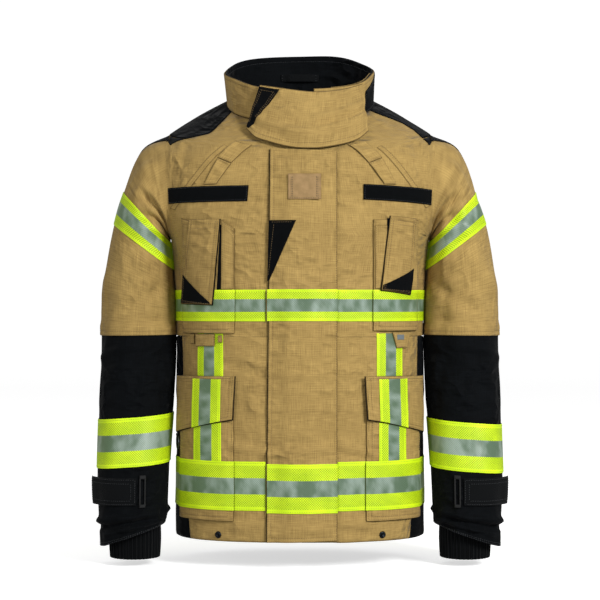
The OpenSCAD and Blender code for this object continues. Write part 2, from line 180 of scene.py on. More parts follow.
# Folds of the front and of the back: x, h, x, h, width, height
FRONT_FOLDS = [
    (-74, 594, -50, 588, 5, 1.3), (-84, 524, -52, 511, 6, 1.4), (-96, 600, -60, 570, 10, -1.2),
    (-98, 284, -58, 276, 6, 1.5), (-92, 268, -60, 258, 9, -1.6), (-95, 160, -60, 150, 7, -1.4),
    (-96, 146, -56, 139, 6, 1.9), (-70, 215, -55, 150, 8, 1.2), (62, 150, 104, 139, 5, 1.8),
    (64, 137, 100, 131, 5, -1.6), (66, 268, 96, 262, 6, 1.2), (68, 30, 112, 24, 6, 2.0),
    (64, 16, 116, 12, 5, -1.4), (-190, 470, -160, 420, 10, 1.6), (-196, 500, -176, 440, 7, -2.0),
    (186, 500, 176, 430, 9, -1.8), (60, 300, 110, 320, 12, -1.0), (64, 560, 96, 520, 9, -1.3),
    (70, 600, 120, 560, 12, 1.1), (-96, 330, -64, 322, 8, -1.1), (70, 480, 108, 440, 10, 1.2),
    (-130, 618, -172, 560, 16, 1.6), (140, 618, 182, 566, 16, 1.6), (-110, 20, -60, 26, 7, 1.3),
    (-180, 620, -198, 560, 9, -1.8), (184, 616, 199, 560, 9, -1.8), (-98, 30, -80, 200, 14, 0.9)]
BACK_FOLDS = [
    (-150, 520, 20, 470, 22, 3.2), (150, 500, -10, 440, 20, 3.0), (-170, 440, -60, 410, 12, -2.6),
    (168, 420, 70, 400, 12, -2.4), (-60, 330, 90, 300, 14, 2.6), (-140, 260, 10, 240, 13, -2.2),
    (20, 210, 150, 170, 14, 2.4), (-150, 150, -30, 170, 11, 2.0), (-90, 610, -150, 500, 16, 2.4),
    (96, 606, 152, 500, 16, 2.4), (0, 600, 6, 480, 26, -2.2), (-30, 36, 90, 26, 9, 1.8)]
# Places where something rigid is fixed, so that the cloth lies flat: x, h, radius
CALM = [(-127, 10, 30), (128, 10, 30), (-190, 158, 34), (7, 550, 80)]
# How far the left front rises beside the storm flap, to meet its seam
RIDGE = 4.8
# How much more the body fills the space beside the sleeve, by height
UNDERARM_SPARE = ([200, 230, 260, 290, 320, 350, 380, 410, 440, 466, 474],
                  [2.0, 3.6, 1.7, 0.5, 1.2, 0.8, 1.4, 2.0, 2.0, 2.6, 1.2])


def torso_relief(u, h):
    """How far the cloth stands off the smooth body, the same for every layer on it."""
    p = body(u, h)
    x, y = p[..., 0], p[..., 1]
    front = ease(-y, 0, 40)
    back = ease(y, 0, 40)
    d = front * creases(x, h, FRONT_FOLDS) + back * creases(x, h, BACK_FOLDS)
    d = d + waves(x + 0.6 * y, h, 95, 3) * (0.55 + 1.0 * back) + waves(x - y, h, 42, 5) * 0.28
    d = d * ease(-np.abs(x), -206, -176) ** ease(h, 440, 480)
    d = 1.4 * d * (1 - front * (1 - ease(np.abs(x), 12, 50)))
    for cx, ch, r in CALM:
        d = d * (1 - ease(-np.hypot(x - cx, h - ch), -r, -0.5 * r) * (y < 20))
    d = d * ease(-h, -NECK_H, -640)
    ridge = ease(x, 51, 61) * ease(-x, -100, -66) * ease(-h, -640, -600)
    spare = 5.5 * ease(h, 170, 300) * ease(-h, -474, -440) + np.interp(h, *UNDERARM_SPARE)
    return d + front * RIDGE * ridge + spare * ease(-np.abs(y), -54, -20)


def outward(u, h):
    """The direction straight out of the smooth body."""
    e = 0.4
    return unit(np.cross(body(u + e, h) - body(u - e, h), body(u, h + e) - body(u, h - e)))


def torso(u, h, t):
    """The point at distance t from the body's cloth surface."""
    return body(u, h) + (t + torso_relief(u, h))[..., None] * outward(u, h)


def collar(u, w, t):
    """The collar, w from the neck ring to the rim."""
    u = np.radians(u)
    roll = 2.4 * np.sin(3 * u + 0.8) * w + 1.1 * np.sin(8 * u) * w * w
    a, b = 118 + 4 * w + t + roll, 104 + 3 * w + t + roll
    y = -b * np.cos(u)
    rim = 1.2 * np.sin(5 * u + 1) * w
    return np.stack([a * np.sin(u), y, NECK_H + 1 + 54 * w + 0.375 * y + rim], -1)


# Folds of the sleeves, in millimetres round from the outside and down from the shoulder, and
# how many millimetres a degree and a station are
ROUND = 1.08
DOWN = 66
SLEEVE_FOLDS = [
    (150, 20, 96, 92, 8, -7), (134, 24, 74, 112, 9, 4.2), (166, 66, 104, 132, 8, -4.6),
    (170, 108, 70, 190, 13, 4.4), (60, 30, 34, 108, 12, -2.6), (150, 190, 40, 262, 15, 4.0),
    (164, 232, 90, 292, 10, -3.6), (30, 210, 10, 300, 14, 2.4), (190, 300, 80, 322, 9, -2.2),
    (330, 40, 280, 130, 14, -4.5), (350, 90, 270, 180, 16, 4.2), (300, 215, 220, 290, 12, 3.4),
    (250, 330, 330, 352, 11, -3.2), (120, 352, 30, 372, 9, 2.4), (180, 372, 90, 402, 12, -2.4),
    (100, 520, 20, 540, 9, 1.8), (20, 602, 140, 590, 6, 4.4), (10, 616, 120, 606, 5, -4.2),
    (60, 632, 150, 618, 6, 4.0), (200, 590, 340, 604, 7, 3.6), (220, 616, 350, 622, 6, -3.4),
    (90, 640, 40, 612, 6, -3.0), (130, 566, 170, 640, 8, 2.6)]
# The stations that the forearm tape runs between
FORE_TAPE = (7.0, 7.98)


def sleeve_relief(q, s, side):
    """How far a sleeve's cloth stands off its smooth shape; the forearm tape lies calmer."""
    x, y = (q % 360) * ROUND, s * DOWN
    d = sum(creases(x + turn * 360 * ROUND, y, SLEEVE_FOLDS) for turn in (0, -1, 1))
    turn = np.radians(q)
    d = d + 1.5 * waves(150 * np.cos(turn), y + 150 * np.sin(turn), 90, 11 + side)
    calm = 1 - 0.75 * ease(s, 6.6, 6.85) * ease(-s, -8.3, -8.05)
    flat = 1 - 0.9 * ease(s, 7.95, 8.05) * ease(-s, -8.9, -8.74)
    inner = ease(-np.cos(turn), 0.55, 0.95) * ease(s, 2.0, 2.9) * ease(-s, -7.6, -5.6)
    return np.clip(1.4 * d * calm * flat * (1 - inner), -8, 6.5) * ease(s, 0, 0.7) + 4.5 * inner


def sleeve(q, s, t, side):
    """A sleeve: q degrees round from the outside, with the front at 90, and s the station."""
    ix, ih, ox, oh = (track(RINGS, s, k) for k in (1, 2, 3, 4))
    t = t + sleeve_relief(q, s, side)
    half = np.hypot(ox - ix, oh - ih) / 2
    turn = np.radians(q)
    r = (half + t) * rounded(np.cos(turn), SLEEVE_ROUND) / (2 * half)
    x = side * ((ix + ox) / 2 + (ox - ix) * r)
    y = track(RINGS, s, 5) - (track(RINGS, s, 6) + t) * rounded(np.sin(turn), SLEEVE_ROUND)
    return np.stack(np.broadcast_arrays(x, y, (ih + oh) / 2 + (oh - ih) * r), -1)


# ---------------------------------------------------------------- meshes
# Distances in from a free edge, close together where the edge is rounded and where it is sewn
EDGE_STEPS = np.array([0, 0.35, 0.9, 1.7, 2.9, 4.4, 5.6, 6.4, 7.4, 9.5])


def sample(length, step, low, high):
    """Places along a length, closer together towards an end that is a free edge."""
    near = EDGE_STEPS[EDGE_STEPS < 0.42 * length]
    first = near if low else near[:1]
    last = near if high else near[:1]
    count = max(2, int(round((length - first[-1] - last[-1]) / step)) + 1)
    middle = np.linspace(first[-1], length - last[-1], count)
    return np.concatenate([first[:-1], middle, length - last[:-1][::-1]]) / length


class Cloth:
    """Slabs of cloth gathered into one mesh. Each face corner holds "cloth": millimetres
    along and up the cloth, and the distance from the nearest edge or, on a tape, the share
    of its width."""

    def __init__(self, *slabs):
        self.points, self.quads, self.values, self.count = [], [], [], 0
        for slab in slabs:
            self.add(*slab)

    def add(self, outer, inner, cloth, ring=False):
        """A slab between two grids of points, closed round its edges, or a ring of it."""
        rows, cols = outer.shape[:2]
        flat = np.arange(rows * cols).reshape(rows, cols)
        mine = np.arange(cloth.shape[0] * cloth.shape[1]).reshape(cloth.shape[:2])
        quads, corners = [], []

        def faces(grid, out):
            o, i = grid, grid + (rows * cols if out is quads else 0)
            out += [(o[:-1, :-1], o[:-1, 1:], o[1:, 1:], o[1:, :-1]),
                    (i[:-1, :-1], i[1:, :-1], i[1:, 1:], i[:-1, 1:]),
                    (o[0, 1:], o[0, :-1], i[0, :-1], i[0, 1:]),
                    (o[-1, :-1], o[-1, 1:], i[-1, 1:], i[-1, :-1])]
            if not ring:
                out += [(o[:-1, 0], o[1:, 0], i[1:, 0], i[:-1, 0]),
                        (o[1:, -1], o[:-1, -1], i[:-1, -1], i[1:, -1])]

        faces(np.concatenate([flat, flat[:, :1]], 1) if ring else flat, quads)
        faces(mine, corners)
        quads = np.concatenate([np.stack(q, -1).reshape(-1, 4) for q in quads])
        corners = np.concatenate([np.stack(c, -1).reshape(-1, 4) for c in corners])
        i, j = min(rows // 2, rows - 2), min(cols // 2, cols - 2)
        turn = np.cross(outer[i, j + 1] - outer[i, j], outer[i + 1, j] - outer[i, j])
        if turn @ (outer[i, j] - inner[i, j]) < 0:
            quads, corners = quads[:, ::-1], corners[:, ::-1]
        self.points += [outer.reshape(-1, 3), inner.reshape(-1, 3)]
        self.quads.append(quads + self.count)
        self.values.append(cloth.reshape(-1, 3)[corners.ravel()])
        self.count += 2 * rows * cols

    def make(self, name, look, body, *nodes):
        """The piece, fastened to a body, in place of the CAD nodes it stands for."""
        return make_object(name, np.concatenate(self.points), np.concatenate(self.quads),
                           np.concatenate(self.values), look, body, nodes)


def show(name, data):
    thing = bpy.data.objects.new(name, data)
    bpy.context.scene.collection.objects.link(thing)
    return thing


def make_object(name, points, quads, values, look, body, nodes=()):
    mesh = bpy.data.meshes.new(name)
    mesh.vertices.add(len(points))
    mesh.vertices.foreach_set("co", place(points).astype(np.float32).ravel())
    mesh.loops.add(quads.size)
    mesh.loops.foreach_set("vertex_index", quads.astype(np.int32).ravel())
    mesh.polygons.add(len(quads))
    mesh.polygons.foreach_set("loop_start", np.arange(0, quads.size, 4))
    mesh.polygons.foreach_set("loop_total", np.full(len(quads), 4))
    mesh.update(calc_edges=True)
    if values is not None:
        held = mesh.attributes.new("cloth", "FLOAT_VECTOR", "CORNER")
        held.data.foreach_set("vector", values.astype(np.float32).ravel())
    mesh.shade_smooth()
    material, slot = look
    mesh.materials.append(material)
    thing = show(name, mesh)
    if nodes:
        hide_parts(*nodes)
    fasten(thing, body)
    return thing


def along(path):
    """How far along a path of points each one is."""
    return np.concatenate([[0], np.linalg.norm(np.diff(path, axis=0), axis=1).cumsum()])


def measure(grid, upright, ring):
    """Millimetres along the columns and up the rows of a grid."""
    mid_row = grid[grid.shape[0] // 2]
    if ring:
        mid_row = np.concatenate([mid_row, mid_row[:1]])
    across, up = np.meshgrid(along(mid_row), along(grid[:, grid.shape[1] // 2]))
    return (up, across) if upright else (across, up)


def layer(surface, size, t0, t1, free="lrbt", step=5, ring=False, groove=6.5, tape=None,
          a=None, b=None, lift=None, sink=0.5):
    """The outer and inner grids of a piece of cloth from surface(a, b, t), with rounded free
    edges and a sewn line beside them. size is its width and height. tape is "x" or "y", the
    way a tape runs, and then the third value is the share of its width."""
    width, height = size
    if a is None:
        a = sample(width, step, "l" in free, "r" in free)
    if ring:
        a = np.linspace(0, 1, int(width / step), endpoint=False)
    if b is None:
        b = sample(height, step, "b" in free, "t" in free)
    a, b = np.meshgrid(a, b)
    far = np.full(a.shape, 99.0)
    for side, distance in (("l", a * width), ("r", (1 - a) * width),
                           ("b", b * height), ("t", (1 - b) * height)):
        if side in free:
            far = np.minimum(far, distance)
    thick = t1 - t0
    reach = min(2.2, max(0.8, 0.7 * thick))
    rim = 1 - np.sqrt(1 - (1 - np.clip(far / reach, 0, 1)) ** 2)
    sewn = sink * np.exp(-((far - groove) / 1.0) ** 2) if groove else 0
    top = t1 - 0.42 * thick * rim - sewn
    low = t0 + 0.42 * thick * rim
    if lift is not None:
        top, low = top + lift(a, b), low + lift(a, b)
    outer, inner = surface(a, b, top), surface(a, b, low)
    across, up = measure(outer, tape == "y", ring)
    third = far
    if tape:
        third = b if tape == "x" else a
    if ring:
        third = np.concatenate([third, third[:, :1]], 1)
    return outer, inner, np.stack([across, up, third], -1), ring


def patch(corners):
    """A surface on the front between four [x, h] corners, lower left first."""
    p, q, r, s = corners

    def surface(a, b, t):
        left_h, right_h = mix(p[1], s[1], b), mix(q[1], r[1], b)
        left = at(mix(p[0], s[0], b), left_h)
        right = at(mix(q[0], r[0], b), right_h)
        return torso(mix(left, right, a), mix(left_h, right_h, a), t)
    return surface


def extent(corners):
    """Roughly how wide and high a patch is, over the curve of the body."""
    (px, ph), (qx, qh), (rx, rh), (sx, sh) = corners
    wide = max(abs(qx - px), abs(rx - sx))
    at_side = max(abs(px), abs(qx)) > 150
    return wide * (1.25 if at_side else 1.03), max(abs(sh - ph), abs(rh - qh))


def rectangle(x0, x1, h0, h1):
    return [(x0, h0), (x1, h0), (x1, h1), (x0, h1)]


def turned(corners, side):
    """Corners given for the wearer's left, on the side asked for."""
    if side > 0:
        return corners
    p, q, r, s = [(-x, h) for x, h in corners]
    return [q, p, s, r]


def grown(corners, wide, low, high):
    """The same patch, wider at both sides and longer below and above."""
    (px, ph), (qx, qh), (rx, rh), (sx, sh) = corners
    return [(px - wide, ph - low), (qx + wide, qh - low), (rx + wide, rh + high),
            (sx - wide, sh + high)]


# ---------------------------------------------------------------- stitches
STITCH = 2.5
STITCH_GAP = 1.1
STITCH_R = 0.34
THREAD_SIDES = 6
# A stitch's rings: share of its length, share of its radius
THREAD_RINGS = ((0.0, 0.15), (0.16, 0.8), (0.5, 1.0), (0.84, 0.8), (1.0, 0.15))
stitching = {}


def stitch(group, path, normals, radius=STITCH_R):
    """Threads along a path of points, kept by group and made into one mesh each later."""
    far = along(path)
    starts = np.arange(0.6, far[-1] - STITCH, STITCH + STITCH_GAP)
    if not len(starts):
        return

    def at_distance(s, values):
        return np.stack([np.interp(s, far, values[:, k]) for k in range(3)], -1)
    rings = []
    for share, size in THREAD_RINGS:
        middle = at_distance(starts + share * STITCH, path)
        n = unit(at_distance(starts + share * STITCH, normals))
        side = unit(np.cross(at_distance(starts + STITCH, path) - at_distance(starts, path), n))
        rise = 0.5 * radius * np.sin(np.pi * share)
        for k in range(THREAD_SIDES):
            turn = 2 * np.pi * k / THREAD_SIDES
            rings.append(middle + radius * size * (np.cos(turn) * side + np.sin(turn) * n) + rise * n)
    stitching.setdefault(group, []).append(np.stack(rings, 1))


def stitch_line(group, surface, start, end, t, count=60):
    """Threads on a surface, straight between two (a, b) places on it."""
    s = np.linspace(0, 1, count)
    a, b = mix(start[0], end[0], s), mix(start[1], end[1], s)
    level = np.full(count, float(t))
    low, high = surface(a, b, level), surface(a, b, level + 1)
    stitch(group, low, unit(high - low))


def stitch_edges(group, surface, size, t, inset, sides="lrbt", count=60):
    """Threads along the edges of a piece, inset from them."""
    da, db = inset / size[0], inset / size[1]
    a0, a1 = (da if "l" in sides else 0), (1 - da if "r" in sides else 1)
    b0, b1 = (db if "b" in sides else 0), (1 - db if "t" in sides else 1)
    for side, start, end in (("l", (da, b0), (da, b1)), ("r", (1 - da, b0), (1 - da, b1)),
                             ("b", (a0, db), (a1, db)), ("t", (a0, 1 - db), (a1, 1 - db))):
        if side in sides:
            stitch_line(group, surface, start, end, t, count)


def repeated(quads, points, times):
    """The quads of a shape made of so many points, for several of it one after another."""
    return (quads + points * np.arange(times)[:, None, None]).reshape(-1, 4)


def make_stitches(group, look, body):
    """One piece of all the threads in a group."""
    threads = np.concatenate(stitching.pop(group))
    n, rings = THREAD_SIDES, len(THREAD_RINGS)
    quads = [[r * n + k, r * n + (k + 1) % n, (r + 1) * n + (k + 1) % n, (r + 1) * n + k]
             for r in range(rings - 1) for k in range(n)]
    caps = [[0, 3, 2, 1], [0, 5, 4, 3], [24, 25, 26, 27], [24, 27, 28, 29]]
    make_object(group + "_stitching", threads.reshape(-1, 3),
                repeated(np.array(quads + caps), n * rings, len(threads)), None, look, body)


# ---------------------------------------------------------------- materials
def rgb(code):
    """A screen colour such as #b09659 as linear light."""
    parts = [int(code[k:k + 2], 16) / 255 for k in (1, 3, 5)]
    return [p / 12.92 if p < 0.04045 else ((p + 0.055) / 1.055) ** 2.4 for p in parts] + [1]


class Value:
    """A value inside a node material, for plain arithmetic."""

    def __init__(self, shade, socket):
        self.shade, self.socket = shade, socket

    def __add__(self, other):
        return self.shade.math("ADD", self, other)

    def __sub__(self, other):
        return self.shade.math("SUBTRACT", self, other)

    def __rsub__(self, other):
        return self.shade.math("SUBTRACT", other, self)

    def __mul__(self, other):
        return self.shade.math("MULTIPLY", self, other)

    def __abs__(self):
        return self.shade.math("ABSOLUTE", self)

    def __or__(self, other):
        """The larger of the two."""
        return self.shade.math("MAXIMUM", self, other)


class Shade:
    """A node material under construction. x, y and z are the cloth attribute's parts."""

    def __init__(self, name, inputs):
        self.material = bpy.data.materials.new(name)
        self.material.use_nodes = True
        self.tree = self.material.node_tree
        self.tree.nodes.clear()
        self.surface = self.node("ShaderNodeBsdfPrincipled", inputs)
        self.node("ShaderNodeOutputMaterial", {"Surface": self.surface.outputs[0]})
        cloth = self.node("ShaderNodeAttribute", attribute_name="cloth")
        parts = self.node("ShaderNodeSeparateXYZ", {"Vector": cloth.outputs["Vector"]})
        self.x, self.y, self.z = (Value(self, socket) for socket in parts.outputs)

    def node(self, kind, inputs=None, **settings):
        made = self.tree.nodes.new(kind)
        for key, value in settings.items():
            setattr(made, key, value)
        for key, value in (inputs or {}).items():
            self.feed(made, key, value)
        return made

    def feed(self, node, key, value):
        """Links a value to a node's input, or sets it there when it is constant."""
        if isinstance(value, Value):
            value = value.socket
        if isinstance(value, bpy.types.NodeSocket):
            self.tree.links.new(value, node.inputs[key])
        elif value is not None:
            node.inputs[key].default_value = value

    def value(self, kind, inputs, output=0, **settings):
        return Value(self, self.node(kind, inputs, **settings).outputs[output])

    def math(self, operation, a, b=0.0):
        return self.value("ShaderNodeMath", {0: a, 1: b}, operation=operation)

    def mix(self, factor, a, b):
        """From colour a to colour b, each a value or a colour code."""
        a, b = (rgb(c) if isinstance(c, str) else c for c in (a, b))
        return self.value("ShaderNodeMix", {0: factor, 6: a, 7: b}, 2, data_type="RGBA")

    def step(self, value, low, high):
        """0 where value is at low, 1 where it is at high."""
        return self.value("ShaderNodeMapRange", {"Value": value, "From Min": low, "From Max": high},
                          interpolation_type="SMOOTHSTEP")

    def noise(self, x, y, z=0.0, detail=2.0):
        where = self.node("ShaderNodeCombineXYZ", {0: x, 1: y, 2: z})
        return self.value("ShaderNodeTexNoise", {"Vector": where.outputs[0], "Scale": 1.0,
                                                 "Detail": detail})

    def cloud(self, rate, z=0.0, detail=2.0):
        """Noise of the same fineness both ways."""
        return self.noise(self.x * rate, self.y * rate, z, detail)

    def grain(self, scale, detail=2.0):
        """Noise in a piece's own space, for pieces without the cloth attribute."""
        where = self.node("ShaderNodeTexCoord").outputs["Object"]
        return self.value("ShaderNodeTexNoise", {"Vector": where, "Scale": scale, "Detail": detail})

    def lines(self, value, period, width, soft=0.2):
        """1 on thin lines a period apart."""
        share = self.math("FRACT", value * (1 / period))
        off = abs(share - 0.5) * period
        return self.step(off, width / 2 + soft, width / 2 - soft)

    def net(self, one, other, period, *line):
        """1 on the lines of a net that runs along two values."""
        return self.lines(one, period, *line) | self.lines(other, period, *line)

    def wave(self, value, period):
        return self.math("SINE", value * (2 * np.pi / period))

    def bump(self, height, distance, strength=1.0, under=None):
        """Raises the surface by height times distance, over an earlier bump if there is one."""
        made = self.value("ShaderNodeBump", {"Height": height, "Distance": distance / 1000,
                                             "Strength": strength, "Normal": under})
        self.feed(self.surface, "Normal", made)
        return made

    def wrinkles(self, deep):
        """Soft folds with sharp crests, some 30 mm apart and deeper in some places."""
        crest = abs(self.noise(self.x * 0.021, self.y * 0.034, 12.0, 1.0) - 0.5)
        small = self.noise(self.x * 0.05, self.y * 0.075, 15.0, 1.0)
        where = self.noise(self.x * 0.011, self.y * 0.009, 18.0, 1.0)
        height = (crest * -1.6 + small * 0.45) * (self.step(where, 0.42, 0.6) + 0.35)
        return self.bump(height, deep)

    def finish(self, colour, roughness=None):
        self.feed(self.surface, "Base Color", colour)
        self.feed(self.surface, "Roughness", roughness)
        return self.material


def ripstop(name, low, high, thread, edge_colour, sheen, gloss, grid=3.6, folds=7.5):
    """Woven cloth with a fine grid of thicker threads, uneven yarn and a colour of its own along free
    edges: a darker painted shadow on the tan, lighter wear on the black and the liner.
    """
    s = Shade(name, {"Sheen Weight": sheen, "Sheen Roughness": 0.45, "Specular IOR Level": gloss})
    warp = s.noise(s.x * 1.5, s.y * 0.035, 1.0)
    weft = s.noise(s.x * 0.035, s.y * 1.5, 4.0)
    yarn = (warp + weft) * 0.5
    net = s.net(s.x, s.y, grid, 0.55)
    tone = yarn * 1.15 + (s.cloud(0.016, 7.0) + s.cloud(1.1, 2.0)) * 0.22
    colour = s.mix(s.step(tone, 0.58, 1.02), low, high)
    patchy = net * s.step(s.cloud(0.09), 0.3, 0.65)
    colour = s.mix(patchy * 0.34, colour, thread)
    # Within a millimetre of a free edge the colour goes towards the edge colour: painted shadow on the
    # tan cloth, lighter wear on the black cloth and the liner.
    edge_wear_and_shadow = s.step(s.z, 0.9, 0.3)
    colour = s.mix(edge_wear_and_shadow * 0.75, colour, edge_colour)
    weave = s.wave(s.x, 0.9) * s.wave(s.y, 0.9)
    s.bump(weave * 0.25 + net * 0.6 + yarn * 0.9, 0.16, 0.6, s.wrinkles(folds))
    return s.finish(colour, yarn * 0.2 + 0.7)


def tape_cloth(name, low, high):
    """Fluorescent tape, perforated, with a silver stripe between two shares of its width."""
    # The faint emission is a painted glow that stands in for the tape's fluorescence.
    s = Shade(name, {"Specular IOR Level": 0.4, "Emission Color": rgb("#b4e000"),
                     "Emission Strength": 0.06})
    soft = 0.006
    silver = s.step(s.z, low - soft, low + soft) * s.step(s.z, high + soft, high - soft)
    one, other = s.x + s.y, s.x - s.y
    dots = abs(s.wave(one, 7.4) * s.wave(other, 7.4))
    inside = s.step(s.z, 0.07, 0.09) * s.step(s.z, 0.93, 0.91)
    holes = s.step(dots, 0.4, 0.6) * inside
    fade = s.noise(s.x * 0.02, s.y * 0.03)
    yellow = s.mix(s.step(fade, 0.3, 0.7), "#bbdc00", "#d6f210")
    yellow = s.mix(holes * 0.9, yellow, "#5c6f04")
    shine = s.noise(s.x * 0.028, s.y * 0.012, 3.0, 3.0)
    flare = s.noise(one * 0.05, other * 0.02, 9.0)
    grey = s.mix(s.step(shine * 0.75 + flare * 0.25, 0.42, 0.62), "#4f6359", "#8d9c97")
    mesh = s.net(one, other, 3.4, 0.8, 0.4)
    grey = s.mix(mesh * 0.42, grey, "#333f3a")
    s.bump(silver * (mesh * 0.3 + 0.6) - holes, 0.2, 0.5)
    return s.finish(s.mix(silver, yellow, grey), 0.62 - silver * 0.24)


def nap(name, low, high):
    """The loops of a hook-and-loop fastener."""
    s = Shade(name, {"Roughness": 0.95, "Sheen Weight": 0.02, "Specular IOR Level": 0.05})
    curl = s.cloud(1.7, detail=4.0)
    s.bump(curl + s.lines(s.y, 1.4, 0.5, 0.3) * 0.3, 0.5, 0.8)
    return s.finish(s.mix(s.step(curl * 0.8 + s.cloud(0.11) * 0.2, 0.35, 0.7), low, high))


def webbing(name, low, high):
    """Narrow woven tape with a twill rib."""
    s = Shade(name, {"Roughness": 0.75, "Sheen Weight": 0.02, "Specular IOR Level": 0.08})
    twill = s.lines(s.x + s.y, 1.5, 0.7, 0.35)
    s.bump(twill * 0.8 + s.wave(s.y, 1.0) * 0.15, 0.35, 0.8)
    return s.finish(s.mix(twill * s.cloud(0.8), low, high))


def knit(name, low, high):
    """Ribbed knit with rows of small loops."""
    rib, loop = 3.4, 1.3
    s = Shade(name, {"Roughness": 0.9, "Sheen Weight": 0.02, "Specular IOR Level": 0.06})
    ribs = s.wave(s.x, rib)
    loops = s.wave(s.y + abs(ribs) * 0.5, loop)
    s.bump(ribs + loops * 0.35, 0.45, 0.9)
    return s.finish(s.mix(s.step(ribs + loops * 0.3, -1.0, 1.0), low, high))


def film(name, low, high):
    """A smooth laminated membrane with a faint weave on it."""
    s = Shade(name, {"Roughness": 0.45, "Specular IOR Level": 0.4})
    cloud = s.cloud(0.03)
    net = s.net(s.x, s.y, 2.0, 0.3)
    s.bump(net + cloud, 0.1, 0.5)
    return s.finish(s.mix(cloud * 0.7 + net * 0.3, low, high))


def leather(name, low, high, edge_colour):
    """A flat patch with a pebbled grain and a darker edge."""
    s = Shade(name, {"Roughness": 0.6, "Specular IOR Level": 0.35})
    where = s.node("ShaderNodeCombineXYZ", {0: s.x, 1: s.y, 2: 0.0})
    cells = s.value("ShaderNodeTexVoronoi", {"Vector": where.outputs[0], "Scale": 0.9})
    colour = s.mix(s.step(s.cloud(0.08, detail=4.0), 0.3, 0.7), low, high)
    s.bump(cells, 0.18, 0.5)
    return s.finish(s.mix(s.step(s.z, 2.0, 0.2) * 0.3, colour, edge_colour))


def metal(name, low, high, rough, metallic=1.0):
    """Satin metal or moulded plastic with fine scratches."""
    s = Shade(name, {"Metallic": metallic})
    wide = s.grain(90.0, 3.0)
    s.bump(s.grain(1400.0), 0.05, 0.5)
    return s.finish(s.mix(s.step(wide, 0.35, 0.65), low, high), wide * 0.2 + rough)


def thread(name, low, high):
    """Sewing thread, a little uneven in colour."""
    s = Shade(name, {"Roughness": 0.6, "Sheen Weight": 0.1})
    twist = s.grain(260.0)
    s.bump(twist, 0.05, 0.5)
    return s.finish(s.mix(twist, low, high))


# Looks: a material and the name of a slot, which its pieces are not given
# The tan's fourth colour is a painted shadow along its edges; the black's and the liner's are lighter
# wear.
TAN = ripstop("tan_ripstop", "#8a7141", "#b29559", "#5c4824", "#463517", 0.06, 0.1), "tan_cloth"
BLACK = ripstop("black_ripstop", "#020304", "#090c0f", "#020203", "#0e1214", 0.02, 0.06,
                folds=14.0), "black_cloth"
TAPE_50 = tape_cloth("tape_narrow", 0.30, 0.70), "reflective_tape"
TAPE_75 = tape_cloth("tape_wide", 0.335, 0.665), "reflective_tape"
GRIP = nap("hook_and_loop", "#040506", "#0b0d0f"), "grip_fastener"
WEBBING = webbing("black_webbing", "#050607", "#101316"), "black_webbing"
KNIT = knit("black_knit", "#030405", "#0c0e10"), "black_knit"
MEMBRANE = film("membrane", "#b7b9b3", "#d6d8d2"), "membrane"
LINER = ripstop("quilted_liner", "#262b2a", "#3d4442", "#1c201f", "#4d5552", 0.1, 0.1, 2.4,
                folds=1.0), "liner_cloth"
LEATHER = leather("leather_patch", "#876c42", "#997b50", "#6e5530"), "patch_leather"
STEEL = metal("satin_steel", "#54585c", "#85898d", 0.25), "steel"
DARK_METAL = metal("blackened_metal", "#16181a", "#2c3033", 0.28), "steel"
BRASS = metal("brass", "#8a6c34", "#b5954f", 0.3), "zip_teeth"
PLASTIC = metal("black_plastic", "#020304", "#060708", 0.75, 0.0), "black_plastic"
TAN_THREAD = thread("tan_thread", "#57441f", "#735b30"), "tan_cloth"
PALE_THREAD = TAN_THREAD[0], "grip_fastener"
BLACK_THREAD = thread("black_thread", "#0d1013", "#1b2025"), "black_cloth"
STRAP_THREAD = BLACK_THREAD[0], "black_webbing"
DARK_THREAD = thread("brown_thread", "#2b2212", "#41331c"), "tan_cloth"
LIME_THREAD = thread("lime_thread", "#6f8a05", "#8fa90a"), "reflective_tape"
GREY_TAG = film("grey_tag", "#5c6468", "#747d80"), "black_webbing"


# ---------------------------------------------------------------- fastening pieces to bodies
def fasten(thing, body):
    """body is one body's name, or two bodies and where a bend between them would start and end; with
    two bodies the piece is only baked in place, attached to neither and not bent.
    """
    if isinstance(body, str):
        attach(thing, body)
    else:
        first, second, start, end = body
        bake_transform(thing)
        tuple(start)
        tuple(end)


STORM_FLAP = ("coat", "storm_flap", place((FLAP_EDGE, 0, 300)), place((34, 0, 300)))


def upper(name, side):
    """The coat and the upper sleeve, with where a bend below the shoulder would start and end; nothing
    bends the sleeve.
    """
    start = place((side * 209, 0, UNDERARM_H + 1))
    return "coat", name + "_upper_sleeve", start, start + np.array([side * 0.07, 0, -0.07])


def lower(name):
    """The upper and the lower sleeve, with where a bend at the elbow would start and end; nothing bends
    the sleeve.
    """
    return (name + "_upper_sleeve", name + "_lower_sleeve", place((0, 0, 325)), place((0, 0, 245)))


# ---------------------------------------------------------------- shell and linings
SIDES = (("right", -1), ("left", 1))


def side_u(h):
    return mix(57, 76, h / SIDE_PANEL_TOP)


def front_edge(h):
    """Where the front panel ends, in degrees round from the front centre."""
    low = np.where(h < SIDE_PANEL_TOP, side_u(h), 90.0)
    return np.where(h < UNDERARM_H, low, np.where(h < YOKE_LOW, at(ARMHOLE_X, h), 90.0))


def yoke_edge(h, side):
    """The front edge of the shoulder yoke, lower on the wearer's right."""
    if side > 0:
        return np.interp(h, [628, 643, 655, 666, 684, NECK_H], [62, 67, 74, 77, 72, 71])
    return np.interp(h, [628, 636, 643, 650, 656, 662, 670, 680, NECK_H],
                     [62, 61, 56, 50.5, 48, 49, 53, 59, 67])


def shell(u0, u1, rows, t0, t1, columns, **settings):
    """Cloth between two side edges given as functions of height, at the given heights."""
    rows = np.array(rows, float)
    low, high = rows[0], rows[-1]

    def surface(a, b, t):
        h = mix(low, high, b)
        return torso(mix(u0(h), u1(h), a), h, t)
    return surface, layer(surface, (500, high - low), t0, t1, a=np.linspace(0, 1, columns),
                          b=(rows - low) / (high - low), **settings)


